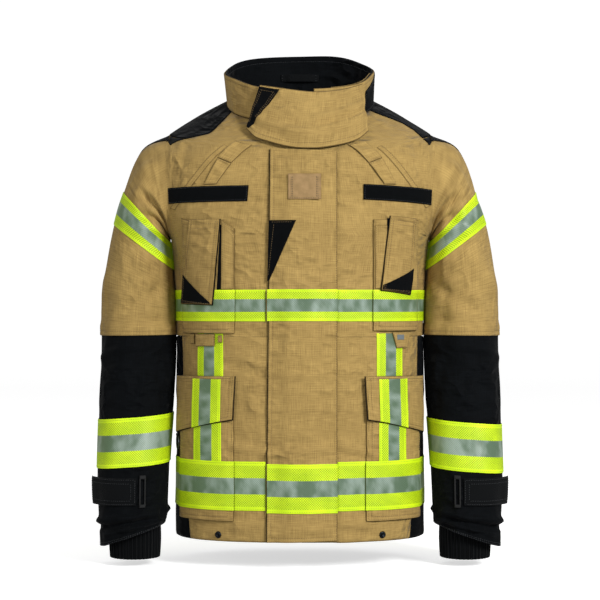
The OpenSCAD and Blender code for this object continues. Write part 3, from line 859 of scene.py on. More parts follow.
# Heights just below and above those where a panel's side edge jumps
BREAKS = [h + e for h in (SIDE_PANEL_TOP, UNDERARM_H) for e in (-0.3, 0.3)]


def heights(low, high, step=5.0):
    """Row heights, with a pair either side of each place where an edge jumps."""
    rows = [h for h in np.arange(low, high, step) if all(abs(h - k) > 1.5 for k in BREAKS)]
    return sorted(rows + [k for k in BREAKS if low < k < high] + [high])


def panels():
    """The two fronts, the back between them, and the black cloth below the arms."""
    for name, side in SIDES:
        ends = (lambda h: side * at(3, h), lambda h: side * front_edge(h))[::side]
        front = Cloth(shell(*ends, heights(0, NECK_H), -2, 0, 66, free="b")[1])
        front.make(name + "_front", TAN, "coat", name + "_front_panel")
    back = Cloth(shell(lambda h: 180 - front_edge(h), lambda h: 180 + front_edge(h),
                       heights(0, NECK_H), -2, 0, 130, free="b")[1])
    back.make("back", TAN, "coat", "back_panel")
    for name, side in SIDES:
        low = Cloth(shell(lambda h: side * 90 - (90 - side_u(h)) - 0.6,
                          lambda h: side * 90 + (90 - side_u(h)) + 0.6,
                          heights(0, SIDE_PANEL_TOP - 1), -1.9, 0.35, 30, groove=None)[1])
        low.make(name + "_side", BLACK, "coat", name + "_side_panel")


def yokes():
    """Black cloth over the shoulders, from the front edge over to the upper back."""
    for name, side in SIDES:
        def front(h):
            return side * yoke_edge(h, side)

        def back(h):
            return side * (118 + 16 * ease(h, 640, 690))

        def corner(h):
            return side * at(ARMHOLE_X, h)
        low = shell(*(front, corner)[::side], np.arange(629, YOKE_LOW - 1, 2.2), 0.15, 1.5, 14,
                    free="b", groove=None)[1]
        rows = np.append(np.arange(YOKE_LOW - 1.6, NECK_H, 2.4), NECK_H)
        surface, high = shell(*(front, back)[::side], rows, 0.1, 1.5, 44, free="lr", groove=4.5)
        for a in (0.035, 0.965):
            stitch_line("coat_black", surface, (a, 0.02), (a, 0.97), 1.2)
        Cloth(low, high).make(name + "_yoke", BLACK, "coat", name + "_shoulder_yoke")


def quilting(a, b):
    """Puffed diamonds between lines of quilting."""
    width, height, cell = 300, 640, 46.0
    x, y = a * width, b * height
    return -1.5 * np.abs(np.sin(np.pi * (x + y) / cell) * np.sin(np.pi * (x - y) / cell)) ** 0.6


def linings():
    """The moisture barrier and, inside it, the quilted thermal liner."""
    def edge(h):
        return np.minimum(89.8, front_edge(np.maximum(h, 330)))
    parts = ((lambda h: at(20, h), edge, 48), (lambda h: -edge(h), lambda h: -at(20, h), 48),
             (lambda h: 180 - edge(h), lambda h: 180 + edge(h), 90))
    for name, look, node, t0, t1, low, high, lift in (
            ("barrier", MEMBRANE, "moisture_barrier", -5.0, -4.0, 14, 664, None),
            ("liner", LINER, "thermal_liner", -8.0, -6.4, 20, 684, quilting)):
        rows = heights(low, high, 6.5)
        cloth = Cloth(*(shell(start, end, rows, t0, t1, columns, free="b", lift=lift,
                              groove=None)[1] for start, end, columns in parts))
        cloth.make(name, look, "coat", node)


# ---------------------------------------------------------------- collar
def rim_surface(low, front, back):
    """The collar's ring, up to one height at the front and another round the back."""
    def surface(a, b, t):
        u = mix(10, 350, a)
        top = mix(front, back, ease(-np.cos(np.radians(u)), -0.35, 0.2))
        return collar(u, mix(low, top, b), t)
    return surface


def collar_pieces():
    outside = rim_surface(0, 1, 0.968)
    size = (700, 54)
    stitch_edges("coat_tan", outside, size, -0.35, 6, "t", count=260)
    Cloth(layer(outside, size, -2.4, 0, free="lrt", step=4, groove=6)).make(
        "collar_stand", TAN, "coat", "collar_shell")
    lining = rim_surface(-0.12, 0.985, 1.005)

    def inside(a, b, t):
        return lining(a, b, -t)
    stitch_line("coat_black", inside, (0.02, 0.86), (0.98, 0.86), 5.4, count=260)
    Cloth(layer(inside, (690, 52), 3.0, 5.6, free="lrt", step=4, groove=7)).make(
        "collar_inside", BLACK, "coat", "collar_lining")

    def facing(a, b, t):
        low = 0.985 - 0.36 * np.sin(np.pi * a) ** 0.8
        return collar(mix(24, 84, a), mix(low, 0.99, b), -t)
    Cloth(layer(facing, (120, 17), 5.9, 6.7, step=3, groove=None)).make("collar_facing", TAN, "coat")

    def insert(a, b, t):
        u = mix(mix(59, 103, a), mix(60, 103, a), b)
        return collar(u, mix(0.02, mix(0.66, 0.94, a ** 0.7), b), t)
    size = (84, 46)
    stitch_edges("coat_black", insert, size, 1.0, 3.2)
    Cloth(layer(insert, size, 0.2, 1.2, step=3.5, groove=3)).make("collar_insert", BLACK, "coat")


def ribbon(path, width, thick, across):
    """A strap along a path of points, as wide as width in the direction across."""
    path = np.array(path, float)
    far = along(path)
    s = np.linspace(0, far[-1], max(8, int(far[-1] / 1.2)))
    smooth = np.stack([np.interp(s, far, path[:, k]) for k in range(3)], -1)
    for _ in range(6):
        smooth[1:-1] = (smooth[:-2] + 2 * smooth[1:-1] + smooth[2:]) / 4
    across = unit(np.array(across, float))
    up = unit(np.cross(across, unit(np.gradient(smooth, axis=0))))
    places = np.array([0, 0.06, 0.2, 0.5, 0.8, 0.94, 1.0])
    crown = thick * (1 - 0.75 * (2 * np.abs(places - 0.5)) ** 6) / 2
    middle = smooth[:, None] + (places - 0.5)[None, :, None] * width * across
    rise = up[:, None] * crown[None, :, None]
    y, x = np.meshgrid(s, places * width, indexing="ij")
    return middle + rise, middle - rise, np.stack([x, y, np.minimum(x, width - x)], -1)


def hanger_loop():
    """Webbing sewn down at both ends at the back of the neck, standing off between."""
    bends = ((-31.5, 93.3), (-24.5, 93.2), (-18, 90), (0, 89.7), (18, 90), (24.5, 93.2), (31.5, 93.3))
    for x in (-28, 28):
        for h in (LOOP_H - 4.4, LOOP_H, LOOP_H + 4.4):
            line = np.array([(x + k, 92.6, h) for k in (-3.2, 0, 3.2)])
            stitch("coat_black", line, np.array([(0.0, -1, 0)] * 3), radius=0.25)
    Cloth(ribbon([(x, y, LOOP_H) for x, y in bends], 12, 1.2, (0, 0, 1))).make(
        "hanging_loop", WEBBING, "coat", "hanger_loop")


# ---------------------------------------------------------------- flat pieces on the coat
def raised(surface, lift):
    """The same surface with its cloth lifted by a function of the place on it."""
    if lift is None:
        return surface
    return lambda a, b, t: surface(a, b, t + lift(a, b))


def flat_piece(cloth, group, corners, t0, t1, sewn="lrbt", inset=None, step=4.0, groove=None,
               lift=None, **settings):
    """Adds a patch to a cloth and sews round it."""
    surface, size = patch(corners), extent(corners)
    cloth.add(*layer(surface, size, t0, t1, step=step, groove=groove, lift=lift, **settings))
    if group:
        inset = inset or min(3.0, 0.2 * min(size))
        stitch_edges(group, raised(surface, lift), size, t1 - 0.1, inset, sewn)
    return surface, size


def single(name, look, body, nodes, group, corners, t0, t1, **settings):
    """A piece that is one patch."""
    cloth = Cloth()
    flat_piece(cloth, group, corners, t0, t1, **settings)
    cloth.make(name, look, body, *nodes)


def fasteners_and_strips():
    """The hook strips under the storm flap, and the two name strips."""
    cloth = Cloth()
    for x0, x1 in ((-48, -26), (20, 42)):
        flat_piece(cloth, "coat_black", rectangle(x0, x1, 40, 520), GAP, 1.8)
    cloth.make("flap_fastener", GRIP, "coat", "hook_strips")
    for name, corners in (("right_name", [(-205, 526), (-81, 527.5), (-79.5, 552), (-206, 550.5)]),
                          ("left_name", [(98, 530), (205, 524), (206, 548), (98, 554)])):
        single(name, GRIP, "coat", [name + "_strip"], "coat_black", corners, 0.8, 2.4, inset=1.8)


def shoulder_straps():
    """A pleated strap on each side, folded in two at a bar of stitches."""
    cloth = Cloth()
    for _, side in SIDES:
        for corners, turn in (([(130, 554), (149, 554), (127, 598), (106, 588)], 0.8),
                              ([(106, 589), (127, 599), (100, 641), (74, 630)], 2.3)):
            def lift(a, b):
                fold = 1.3 * np.sin(np.pi * a) * np.sin(3.1 * np.pi * b + turn + 2 * a)
                ridge = 2.4 * np.exp(-((a - 0.12) / 0.1) ** 2) * np.sin(np.pi * b)
                return (fold + ridge) * ease(b, 0, 0.12) * ease(-b, -1, -0.88)
            surface, _ = flat_piece(cloth, None, turned(corners, side), GAP, 2.6, lift=lift, step=1.8)
            for b in (0.05, 0.95):
                stitch_line("coat_tan", surface, (0.06, b), (0.94, b), 2.7, count=20)
            for a in (0.04, 0.97):
                stitch_line("coat_tan", surface, (a, 0.04), (a, 0.96), 2.0, count=20)
    cloth.make("shoulder_loops", TAN, "coat", "shoulder_straps")


def seams():
    """Felled seams from the neck to the armpit, and the facing behind the front opening."""
    cloth = Cloth()
    for corners in ([(-204, 519), (-196, 516), (-111, 624), (-118, 630)],
                    [(197, 519), (204, 523), (126, 628), (119, 622)]):
        flat_piece(cloth, "coat_tan", corners, 0.2, 0.75, sewn="lr", inset=1.3, step=2.5)
    flat_piece(cloth, None, rectangle(-9, 9, 558, 682), -3.6, -2.3, step=3)
    cloth.make("seams_and_facing", TAN, "coat")


def tabs():
    """Small tabs above the cargo pockets, one with a grey tag."""
    cloth = Cloth()
    for corners, t0, t1, inset in (
            ([(-161, 302), (-131, 303), (-131, 322), (-161, 322)], 1.8, 4.2, 1.5),
            (rectangle(-172, -165, 306, 322), GAP, 2.6, 1.5),
            (rectangle(-126, -119, 309, 320), 2.2, 4.4, 1.5),
            ([(149, 300), (166, 300), (172, 325), (142, 325)], 1.8, 4.2, 1.8)):
        flat_piece(cloth, "coat_tan", corners, t0, t1, inset=inset, step=2)
    cloth.make("small_tabs", TAN, "coat", "pocket_tabs")
    single("tab_tag", GREY_TAG, "coat", (), None, rectangle(149, 160, 313, 321), 4.4, 4.9, step=2)


# ---------------------------------------------------------------- pockets
def sink_edges(width, left=True, right=True):
    """The sides of a pocket bag, and what is sewn across it, come down to the coat."""
    reach = 13.0

    def lift(a, b):
        off = np.minimum(a * width if left else 99, (1 - a) * width if right else 99)
        return -2.5 * (1 - ease(off, 0, reach))
    return lift


def pocket(name, corners, node, shaded_slot_corners=None):
    """A bag of two walls, the outer one gathered towards its edges, with or without a slot: a thin
    black sheet on its face for the opening, standing for a black lining and the painted shade inside
    it.
    """
    cloth = Cloth()
    sides = sink_edges(extent(corners)[0])

    def gather(a, b):
        edge = np.minimum(np.minimum(a, 1 - a) * 80, b * 150)
        return 0.5 * np.exp(-(edge / 9) ** 2) * np.sin(b * 31 + 5 * a)
    flat_piece(cloth, None, grown(corners, -2.5, -2.5, -1), 0.3, 0.95)
    surface, size = flat_piece(cloth, None, corners, 3.6, BAG_TOP, step=3.5, groove=5.5,
                               lift=lambda a, b: sides(a, b) - np.abs(gather(a, b)))
    sewn = raised(surface, sides)
    stitch_edges("coat_tan", sewn, size, BAG_TOP - 0.5, 2.4, "lrb")
    stitch_edges("coat_tan", sewn, size, BAG_TOP - 0.3, 7.0, "lrbt")
    cloth.make(name, TAN, "coat", node)
    if shaded_slot_corners:
        # The slot is a thin black sheet on the bag's face: black lining and painted shade inside the
        # opening.
        single(name + "_shaded_slot", BLACK, "coat", (), None, shaded_slot_corners, 5.95, 6.2, step=3)


def flap(name, body, corners, grip=None):
    """A pocket flap: a face, a black backing that shows as a fine dark edge, partly a black binding and
    partly painted shadow under the flap's edge, and what is on it.
    """
    def curl(lowest):
        return lambda a, b: np.clip(0.9 * (1 - b) ** 3 * np.cos(2 * np.pi * a)
                                    + 0.35 * np.sin(9 * b + 4 * a), lowest, 0.9)
    face, backing = Cloth(), Cloth()
    surface, size = flat_piece(face, None, corners, 8.3, FLAP_T, step=3.5, groove=6, lift=curl(-0.2))
    # The backing reaches a little past the face, so a dark line shows round the flap: partly black
    # binding, partly painted shadow.
    flat_piece(backing, None, grown(corners, 1.1, 1.3, 0), 7.5, 8.15, step=3.5, lift=curl(-0.1))
    stitch_edges(name, surface, size, FLAP_T + 0.1, 2.2, "lrb")
    stitch_edges(name, surface, size, FLAP_T - 0.1, 6.2, "lrb")
    for b in (0.95, 0.9):
        stitch_line(name, surface, (0.03, b), (0.97, b), FLAP_T)
    face.make(name, TAN, body, body)
    backing.make(name + "_backing", BLACK, body)
    if grip:
        single(name + "_fastener", GRIP, body, [body + "_grip"], None, grip, FLAP_T + 0.9,
               FLAP_T + 1.9, step=3)
        for inset in (2.2, 4.4):
            stitch_edges(body + "_pale", patch(grip), extent(grip), FLAP_T + 1.9, inset, "lb")
    make_stitches(name, TAN_THREAD, body)


def chest_pockets():
    pocket("right_bag", [(-184, 323), (-101, 323), (-101, 486), (-184, 503)],
           "right_chest_pocket", [(-127, 391), (-119, 391), (-119.5, 492), (-122, 492)])
    pocket("left_bag", rectangle(113, 185, 327, 500), "left_chest_pocket",
           [(130, 391), (142, 391), (139, 502), (133, 502)])
    cloth = Cloth()
    for corners, right in (([(-120, 392), (-102, 392), (-101, 486), (-120, 499)], True),
                           ([(115, 393), (131, 393), (133, 491), (115, 491)], False)):
        flat_piece(cloth, "coat_tan", corners, 6.3, 7.4, inset=2.2, step=2.5,
                   lift=sink_edges(18, not right, right))
    cloth.make("pocket_bands", TAN, "coat", "pocket_straps")
    flap("right_chest_cover", "right_chest_flap", [(-179, 370), (-132, 368), (-122, 501), (-168, 501)],
         grip=[(-178, 371), (-133, 369), (-135, 372), (-175, 416)])
    flap("left_chest_cover", "left_chest_flap", [(122, 391), (166, 384), (176, 503), (137, 506)],
         grip=[(123, 392), (165, 385), (171, 426), (124, 399)])


def cargo_pockets():
    for name, side in SIDES:
        body, tape = name + "_cargo_flap", name + "_cover_tape"
        pocket(name + "_cargo_bag", turned(rectangle(102, 188, 32, 254), side), name + "_cargo_pocket")
        flap(name + "_cargo_cover", body, turned([(102, 190), (187, 166), (186, 255), (98, 257)], side))
        single(tape, TAPE_50, body, [body + "_tape"], tape,
               turned([(120, 187), (162, 175), (160, 252), (118, 252)], side), FLAP_T + 0.9,
               FLAP_T + 1.7, tape="y", sewn="lr", inset=1.6)
        make_stitches(tape, LIME_THREAD, body)


# ---------------------------------------------------------------- reflective tape on the body
def front_tape(cloth, corners, t, inset, **settings):
    """Tape across the front; over a pocket it comes down to the coat at its sides."""
    wide = corners[1][0] - corners[0][0]
    flat_piece(cloth, "coat_lime", corners, t, t + 1, tape="x", sewn="bt", inset=inset,
               lift=sink_edges(1.25 * wide) if t > 1 else None, **settings)


def back_tape(cloth, x, low, high):
    """Tape round the back, from width x at one side to the other."""
    def surface(a, b, t):
        h = mix(low, high, b)
        u0 = at(x, h)
        return torso(mix(u0, 360 - u0, a), h, t)
    size = (640, high - low)
    cloth.add(*layer(surface, size, GAP, 1.4, free="bt", tape="x", groove=None))
    stitch_edges("coat_lime", surface, size, 1.3, 2.4, "bt", count=240)


def body_tapes():
    chest, hem, upright = Cloth(), Cloth(), Cloth()
    for x0, x1, t in ((-100.4, -53, GAP), (-184, -99.8, BAG_TAPE), (57.4, 112.6, GAP),
                      (112, 184, BAG_TAPE)):
        front_tape(chest, rectangle(x0, x1, *CHEST_BAND), t, 2.4)
    for x0, x1 in ((-187, -184.5), (184.5, 187)):
        flat_piece(chest, None, rectangle(x0, x1, *CHEST_BAND), GAP, 1.4, tape="x", step=1.5)
    back_tape(chest, 187, *CHEST_BAND)
    for _, side in SIDES:
        for x0, x1, t in ((57.4 if side > 0 else 53, 101.4, GAP), (100.8, 188, BAG_TAPE)):
            front_tape(hem, turned(rectangle(x0, x1, *HEM_BAND), side), t, 2.6)
        for corners, t in (([(119, 256), (160, 256), (160, 323), (119, 323)], GAP),
                           ([(120, 125), (162, 125), (162, 176), (120, 188)], BAG_TAPE)):
            flat_piece(upright, "coat_lime", turned(corners, side), t, t + 0.9, tape="y",
                       sewn="lr", inset=1.8)
    back_tape(hem, 191, *HEM_BAND)
    chest.make("chest_band", TAPE_50, "coat", "chest_tape")
    hem.make("hem_band", TAPE_75, "coat", "hem_tape")
    upright.make("upright_bands", TAPE_50, "coat", "vertical_tapes")


# ---------------------------------------------------------------- storm flap and throat flap
# Folds of the storm flap: x, h, x, h, width, height
FLAP_FOLDS = [
    (-48, 136, 40, 146, 6, 1.6), (-48, 148, 52, 158, 8, -1.2), (-22, 264, 54, 268, 4, -1.0),
    (-46, 262, 10, 258, 5, 0.9), (-46, 206, 54, 204, 6, 0.8), (6, 24, 54, 18, 5, 1.4),
    (-40, 12, 10, 20, 6, 1.0), (-40, 590, 30, 596, 6, 0.7)]
# Folds of the throat flap, in millimetres along it and up from its lower edge
THROAT_FOLDS = [
    (20, 20, 120, 10, 4.5, 1.9), (70, 15, 190, 24, 4.5, 1.8), (10, 12, 90, 4, 4, -1.3),
    (110, 32, 205, 40, 4, 1.2), (120, 24, 206, 30, 4, -1.5), (6, 30, 60, 34, 5, 0.9),
    (150, 10, 206, 16, 4, 1.4)]
# The lower edge of the throat flap: share of its length, x, height
THROAT_EDGE = np.array([[0, -83, 666], [0.09, -70, 645], [0.2, -46, 631], [0.36, -16, 618],
                        [0.52, 15, 614.5], [0.63, 36, 616], [0.86, 86, 635], [1, 106, 657]])


def flap_height(x, h):
    """How far the storm flap's inside stands off the coat: over the zip, down to the seam."""
    over_zip = ease(x, -42, -14) * ease(-x, -42, -12) * ease(-h, -602, -574)
    return 2.8 + 6.2 * over_zip - 2.2 * ease(x, 44, 57)


def flap_patch(corners):
    """A surface on the storm flap: t = 0 is the flap's inner face."""
    p, q, r, s = np.array(corners, float)

    def surface(a, b, t):
        a, b = a[..., None], b[..., None]
        x, h = np.moveaxis(mix(mix(p, s, b), mix(q, r, b), a), -1, 0)
        wave = 0.9 * waves(x, h, 120, 21) + 1.4 * creases(x, h, FLAP_FOLDS)
        wave = wave * ease(-x, -FLAP_EDGE, -44) * ease(np.hypot(x - 7, h - 550), 36, 70)
        sunk = ease(x, 51, 61) * RIDGE * 0.72
        return torso(at(x, h), h, t + flap_height(x, h) + wave - sunk)
    return surface


def storm_flap():
    surface, size = flap_patch([(FLAP_FREE, 0.5), (FLAP_EDGE, 3), (FLAP_EDGE, FLAP_TOP),
                                (-46, FLAP_TOP + 6)]), (110, 605)
    # The black backing reaches 1.3 mm past the free edge, where it shows as a dark line: partly the
    # flap's black underside, partly painted shadow at the free edge.
    around = flap_patch([(FLAP_FREE - 1.3, 1.5), (40, 3), (40, FLAP_TOP), (-47.3, FLAP_TOP + 5)])
    for inset in (6.5, 1.8):
        stitch_edges("flap_tan", surface, size, 2.7, inset, "lb", count=240)
    seam = 1 - 1.4 / size[0]
    stitch_line("flap_tan", surface, (seam, 0.004), (seam, 0.995), 3.1, count=260)
    Cloth(layer(surface, size, 0.9, 3.0, step=3.5)).make("front_cover", TAN, STORM_FLAP, "storm_flap")
    Cloth(layer(around, (92, 603), 0.0, 0.75, step=4, groove=None)).make(
        "front_cover_backing", BLACK, STORM_FLAP)
    for name, look, low, width, nodes in (
            ("front_cover_chest_band", TAPE_50, 342.5, 49, ["storm_flap_tapes"]),
            ("front_cover_hem_band", TAPE_75, 46, 76, [])):
        on_flap = flap_patch(rectangle(FLAP_FREE + 0.4, FLAP_EDGE + 0.5, low, low + width))
        size = (108, width)
        Cloth(layer(on_flap, size, 3.2, 4.2, step=3, tape="x", groove=None)).make(
            name, look, STORM_FLAP, *nodes)
        stitch_edges("flap_lime", on_flap, size, 4.0, 2.5, "bt", count=120)
    on_grip = flap_patch([(-50, 404), (-47.5, 404), (-6, 498), (-48, 498)])
    Cloth(layer(on_grip, (42, 94), 3.2, 4.2, step=2.5, groove=None)).make(
        "front_cover_fastener", GRIP, STORM_FLAP, "storm_flap_grip")
    for start, end in (((0.2, 0.1), (0.2, 0.96)), ((0.1, 0.97), (0.9, 0.97))):
        stitch_line("flap_pale", on_grip, start, end, 4.2)


def label():
    """A flat blank patch, sewn on at its sides and its lower edge."""
    wide, high, front = 51, 39.5, -158.4

    def surface(a, b, t):
        return np.stack([mix(-18.5, -18.5 + wide, a), front - t, mix(530, 530 + high, b)], -1)
    for inset in (5.0, 7.0):
        for a in (inset / wide, 1 - inset / wide):
            stitch_line("flap_dark", surface, (a, 0.08), (a, 0.92), 1.7, count=20)
    stitch_line("flap_dark", surface, (0.03, 0.05), (0.97, 0.05), 1.6, count=20)
    Cloth(layer(surface, (wide, high), 0.0, 1.6, step=3, groove=2.4, sink=0.3)).make(
        "blank_patch", LEATHER, "storm_flap", "label_patch")


def throat(s, w, t):
    """The throat flap, ruled from the chest up to the collar's rim."""
    h = track(THROAT_EDGE, s, 2)
    u = at(track(THROAT_EDGE, s, 1), h)
    n = outward(u, h)
    low = body(u, h) + (6.5 + t)[..., None] * n
    rim = 1.09 - 0.16 * ease(s, 0, 0.55) + 0.055 * ease(s, 0.55, 1)
    high = collar(mix(-30, 52, s), rim, 1.6 + t)
    wave = 2.6 * creases(s * 210, w * 62, THROAT_FOLDS)
    wave = wave * np.sin(np.pi * np.clip(w, 0, 1)) ** 0.5
    pout = 3.2 * np.sin(np.pi * w) * np.sin(np.pi * s)
    out = unit(mix(n, unit(high - (0, 0, 700)), 0.3))
    return mix(low, high, w[..., None]) + (wave + pout)[..., None] * out


def throat_flap():
    def around(a, b, t):
        return throat(mix(0.004, 0.99, a), mix(0.01, 0.985, b), t)

    def corner(a, b, t):
        return throat(mix(0.02, 0.19, b) * a, mix(0.03, 0.97, b), t)
    size, body_name = (215, 68), "throat_flap"
    stitch_edges("throat_tan", throat, size, 2.8, 5.5, "lb", count=200)
    for start, end in (((0.1, 0.12), (0.1, 0.94)), ((0.9, 0.3), (0.9, 0.94)),
                       ((0.2, 0.12), (0.2, 0.94)), ((0.8, 0.3), (0.8, 0.94)),
                       ((0.1, 0.93), (0.9, 0.93))):
        stitch_line("throat_pale", corner, start, end, 4.0)
    Cloth(layer(throat, size, 0.9, 3.0, step=2.5, groove=5.5)).make(
        "throat_cover", TAN, body_name, "throat_flap")
    Cloth(layer(around, size, 0.0, 0.75, step=4, groove=None)).make(
        "throat_cover_backing", BLACK, body_name)
    Cloth(layer(corner, (34, 62), 3.2, 4.1, step=2, groove=None)).make(
        "throat_cover_fastener", GRIP, body_name, "throat_flap_grip")


# ---------------------------------------------------------------- zipper and small hardware
def blocks(places, size):
    """Small tapered blocks at the given corners, as points and quads."""
    taper, waist = 0.8, 0.55
    corners = np.array([[x, y, z] for z in (0, size[2]) for x, y in
                        ((0, 0), (size[0], 0), size[:2], (0, size[1]))], float)
    middle = np.array(size) / 2
    one = np.concatenate([middle + (corners - middle) * (taper, 1, taper),
                          middle + (corners - middle) * (1, waist, 1)])
    quads = np.array([[0, 1, 5, 4], [3, 7, 6, 2], [8, 11, 15, 12], [9, 13, 14, 10],
                      [8, 9, 1, 0], [10, 11, 3, 2], [12, 4, 5, 13], [14, 6, 7, 15],
                      [8, 0, 4, 12], [9, 13, 5, 1], [11, 15, 7, 3], [10, 2, 6, 14],
                      [8, 9, 10, 11], [12, 15, 14, 13]])
    places = np.array(places, float)
    return (places[:, None] + one).reshape(-1, 3), repeated(quads, len(one), len(places))


def zipper():
    teeth = [(-2.6 + (0.9 if k % 2 else -0.9), ZIP_FRONT - 1.65, h)
             for k, h in enumerate(np.arange(18, 514, 3.1))]
    chain = make_object("zipper_chain", *blocks(teeth, (5.2, 1.9, 2.2)), None, BRASS, "coat",
                        ["zipper_teeth"])
    chain.data.shade_flat()
    cloth = Cloth()
    for x, seam in ((-12.4, 0.22), (3.4, 0.78)):
        def surface(a, b, t):
            return np.stack([mix(x, x + 9, a), ZIP_FRONT - 0.5 - t, mix(14, 556, b)], -1)
        cloth.add(*layer(surface, (9, 542), 0.0, 0.9, step=3, groove=None, b=np.linspace(0, 1, 60)))
        stitch_line("coat_black", surface, (seam, 0.01), (seam, 0.99), 1.0, count=10)
    cloth.make("zipper_bands", WEBBING, "coat", "zipper_tapes")


def snaps():
    """Domed press studs at the hem, each with a sunken middle."""
    profile = [(0, 1.0), (1.4, 1.0), (2.0, 1.5), (3.0, 2.2), (4.2, 2.1), (5.1, 1.4), (5.5, 0.6),
               (5.5, 0.1), (0, 0.1)]
    segments, h = 40, 10
    turn = 2 * np.pi * np.arange(segments)[:, None] / segments
    j = np.arange(segments)
    row = np.stack([j, j + segments, (j + 1) % segments + segments, (j + 1) % segments], -1)
    one = np.concatenate([row + k * segments for k in range(len(profile) - 1)])
    points = []
    for x in (-127, 128):
        u = at(x, h)
        n = outward(u, h)
        side = unit(np.cross(n, (0, 0, 1)))
        around = np.cos(turn) * side + np.sin(turn) * np.cross(side, n)
        points += [body(u, h) + (z + GAP) * n + r * around for r, z in profile]
    make_object("press_studs", np.concatenate(points),
                repeated(one, len(profile) * segments, 2), None, DARK_METAL, "coat", ["hem_snaps"])


def ring_tab():
    """The webbing tab that holds the ring at the right side."""
    u, h = -77.0, 158.0
    n = outward(u, h)
    path = [body(u, h) + out * n + (0, 0, up) for out, up in
            ((0.9, 20), (0.9, 8), (1.6, 5.6), (5.2, 5.2), (5.6, 2), (5.2, -1.4), (1.4, -1.6),
             (0.7, 1), (0.7, 3))]
    Cloth(ribbon(path, 8, 0.8, unit(np.cross(n, (0, 0, 1))))).make(
        "ring_holder", WEBBING, "coat", "ring_tab")


# ---------------------------------------------------------------- sleeves
def armhole_strip(side, q0, q1, inside, reach, low, crown):
    """Cloth that runs from the body on to the sleeve and smooths over the step between them."""
    def surface(a, b, t):
        q = mix(q0, q1, a)
        turn = np.radians(q)
        h = np.clip(557 + 84 * rounded(np.cos(turn), SLEEVE_ROUND), 474, 640.5)
        u = at(ARMHOLE_X - 1.6 - inside * np.clip(1 - 2 * b, 0, 1), h)
        u = np.where(np.sin(turn) > 0, u, 180 - u)
        t = t + low + crown * np.sin(np.pi * b)
        on_sleeve = sleeve(q, 0.03 + reach * np.clip(2 * b - 1, 0, 1), t, side)
        return np.where((b < 0.5)[..., None], torso(side * u, h, t), on_sleeve)
    return layer(surface, (abs(q1 - q0) * 1.7, 16), 0, 0.8, free="", step=4, groove=None,
                 b=np.array([0, 0.15, 0.3, 0.46, 0.54, 0.7, 0.85, 1.0]))


def armholes():
    for name, side in SIDES:
        for tone, look, strip in (("tan", TAN, (30, 290, 8, 0.13, -1.5, 1.2)),
                                  ("black", BLACK, (-76, 35, 3, 0.05, 0.15, 0.5))):
            Cloth(armhole_strip(side, *strip)).make(name + "_armhole_" + tone, look, upper(name, side))


def sleeve_band(side, s0, s1, t0, t1, length, free="bt", slant=0.0, rise=0.0, **settings):
    """A ring of cloth on a sleeve. slant lowers its outer side and lifts its inner side."""
    def surface(a, b, t):
        s = mix(s0, s1, b) + slant * np.cos(2 * np.pi * a) - rise
        return sleeve(360 * a, s, t, side)
    rows = sample(length, 4.5, "b" in free, "t" in free)
    return surface, Cloth(layer(surface, (96, length), t0, t1, free=free, step=1, ring=True,
                                b=rows, **settings))


def sew_round(group, surface, rows, t, count=240):
    for b in rows:
        stitch_line(group, surface, (0, b), (0.999, b), t, count=count)


def sleeves():
    for name, side in SIDES:
        above, below, forearm = upper(name, side), lower(name), name + "_lower_sleeve"
        length = 330
        surface, cloth = sleeve_band(side, 0, 5.1, -2, 0, length, free="t", groove=7,
                                     lift=lambda a, b: 2.3 * ease(b, 0.93, 0.965))
        sew_round(name + "_upper", surface, (1 - 2.2 / length, 1 - 7.0 / length), 2.2)
        cloth.make(name + "_upper_arm", TAN, above, name + "_upper_sleeve")
        surface, cloth = sleeve_band(side, 2.05, 2.95, GAP, 1.4, 50, tape="x", groove=None)
        sew_round(name + "_upper_lime", surface, (0.05, 0.95), 1.3)
        cloth.make(name + "_upper_band", TAPE_50, above, name + "_upper_sleeve_tape")

        def cap(a, b, t):
            s = mix(0.0, 1.95, b)
            front = np.interp(s, [0, 0.75, 1.1, 1.95], [34, 13, 3, -7])
            back = np.interp(s, [0, 1.0, 1.95], [-74, -56, -20])
            return sleeve(mix(front, back, a), s, t, side)
        stitch_line(name + "_upper_black", cap, (0.04, 0.02), (0.04, 0.97), 1.3)
        Cloth(layer(cap, (120, 110), 0.3, 1.3, step=4, free="lrt", groove=3.5)).make(
            name + "_shoulder_cap", BLACK, above)
        length = 345
        surface, cloth = sleeve_band(side, 4.99, 10, -2, -0.2, length, free="t", groove=8)
        sew_round(name + "_lower_black", surface, (1 - 3 / length, 1 - 8 / length), 0.0, 200)
        cloth.make(name + "_forearm", BLACK, below, name + "_lower_sleeve")
        surface, cloth = sleeve_band(side, *FORE_TAPE, GAP, 1.4, 76, tape="x", groove=None,
                                     slant=0.065, rise=0.03 - 0.05 * side)
        sew_round(name + "_lower_lime", surface, (0.035, 0.965), 1.3)
        cloth.make(name + "_forearm_band", TAPE_75, forearm, name + "_lower_sleeve_tape")
        cuff_parts(name, side)
        for group, look, on in (
                ("_upper", TAN_THREAD, above), ("_upper_lime", LIME_THREAD, above),
                ("_upper_black", BLACK_THREAD, above), ("_lower_lime", LIME_THREAD, forearm),
                ("_lower_black", BLACK_THREAD, below)):
            make_stitches(name + group, look, on)


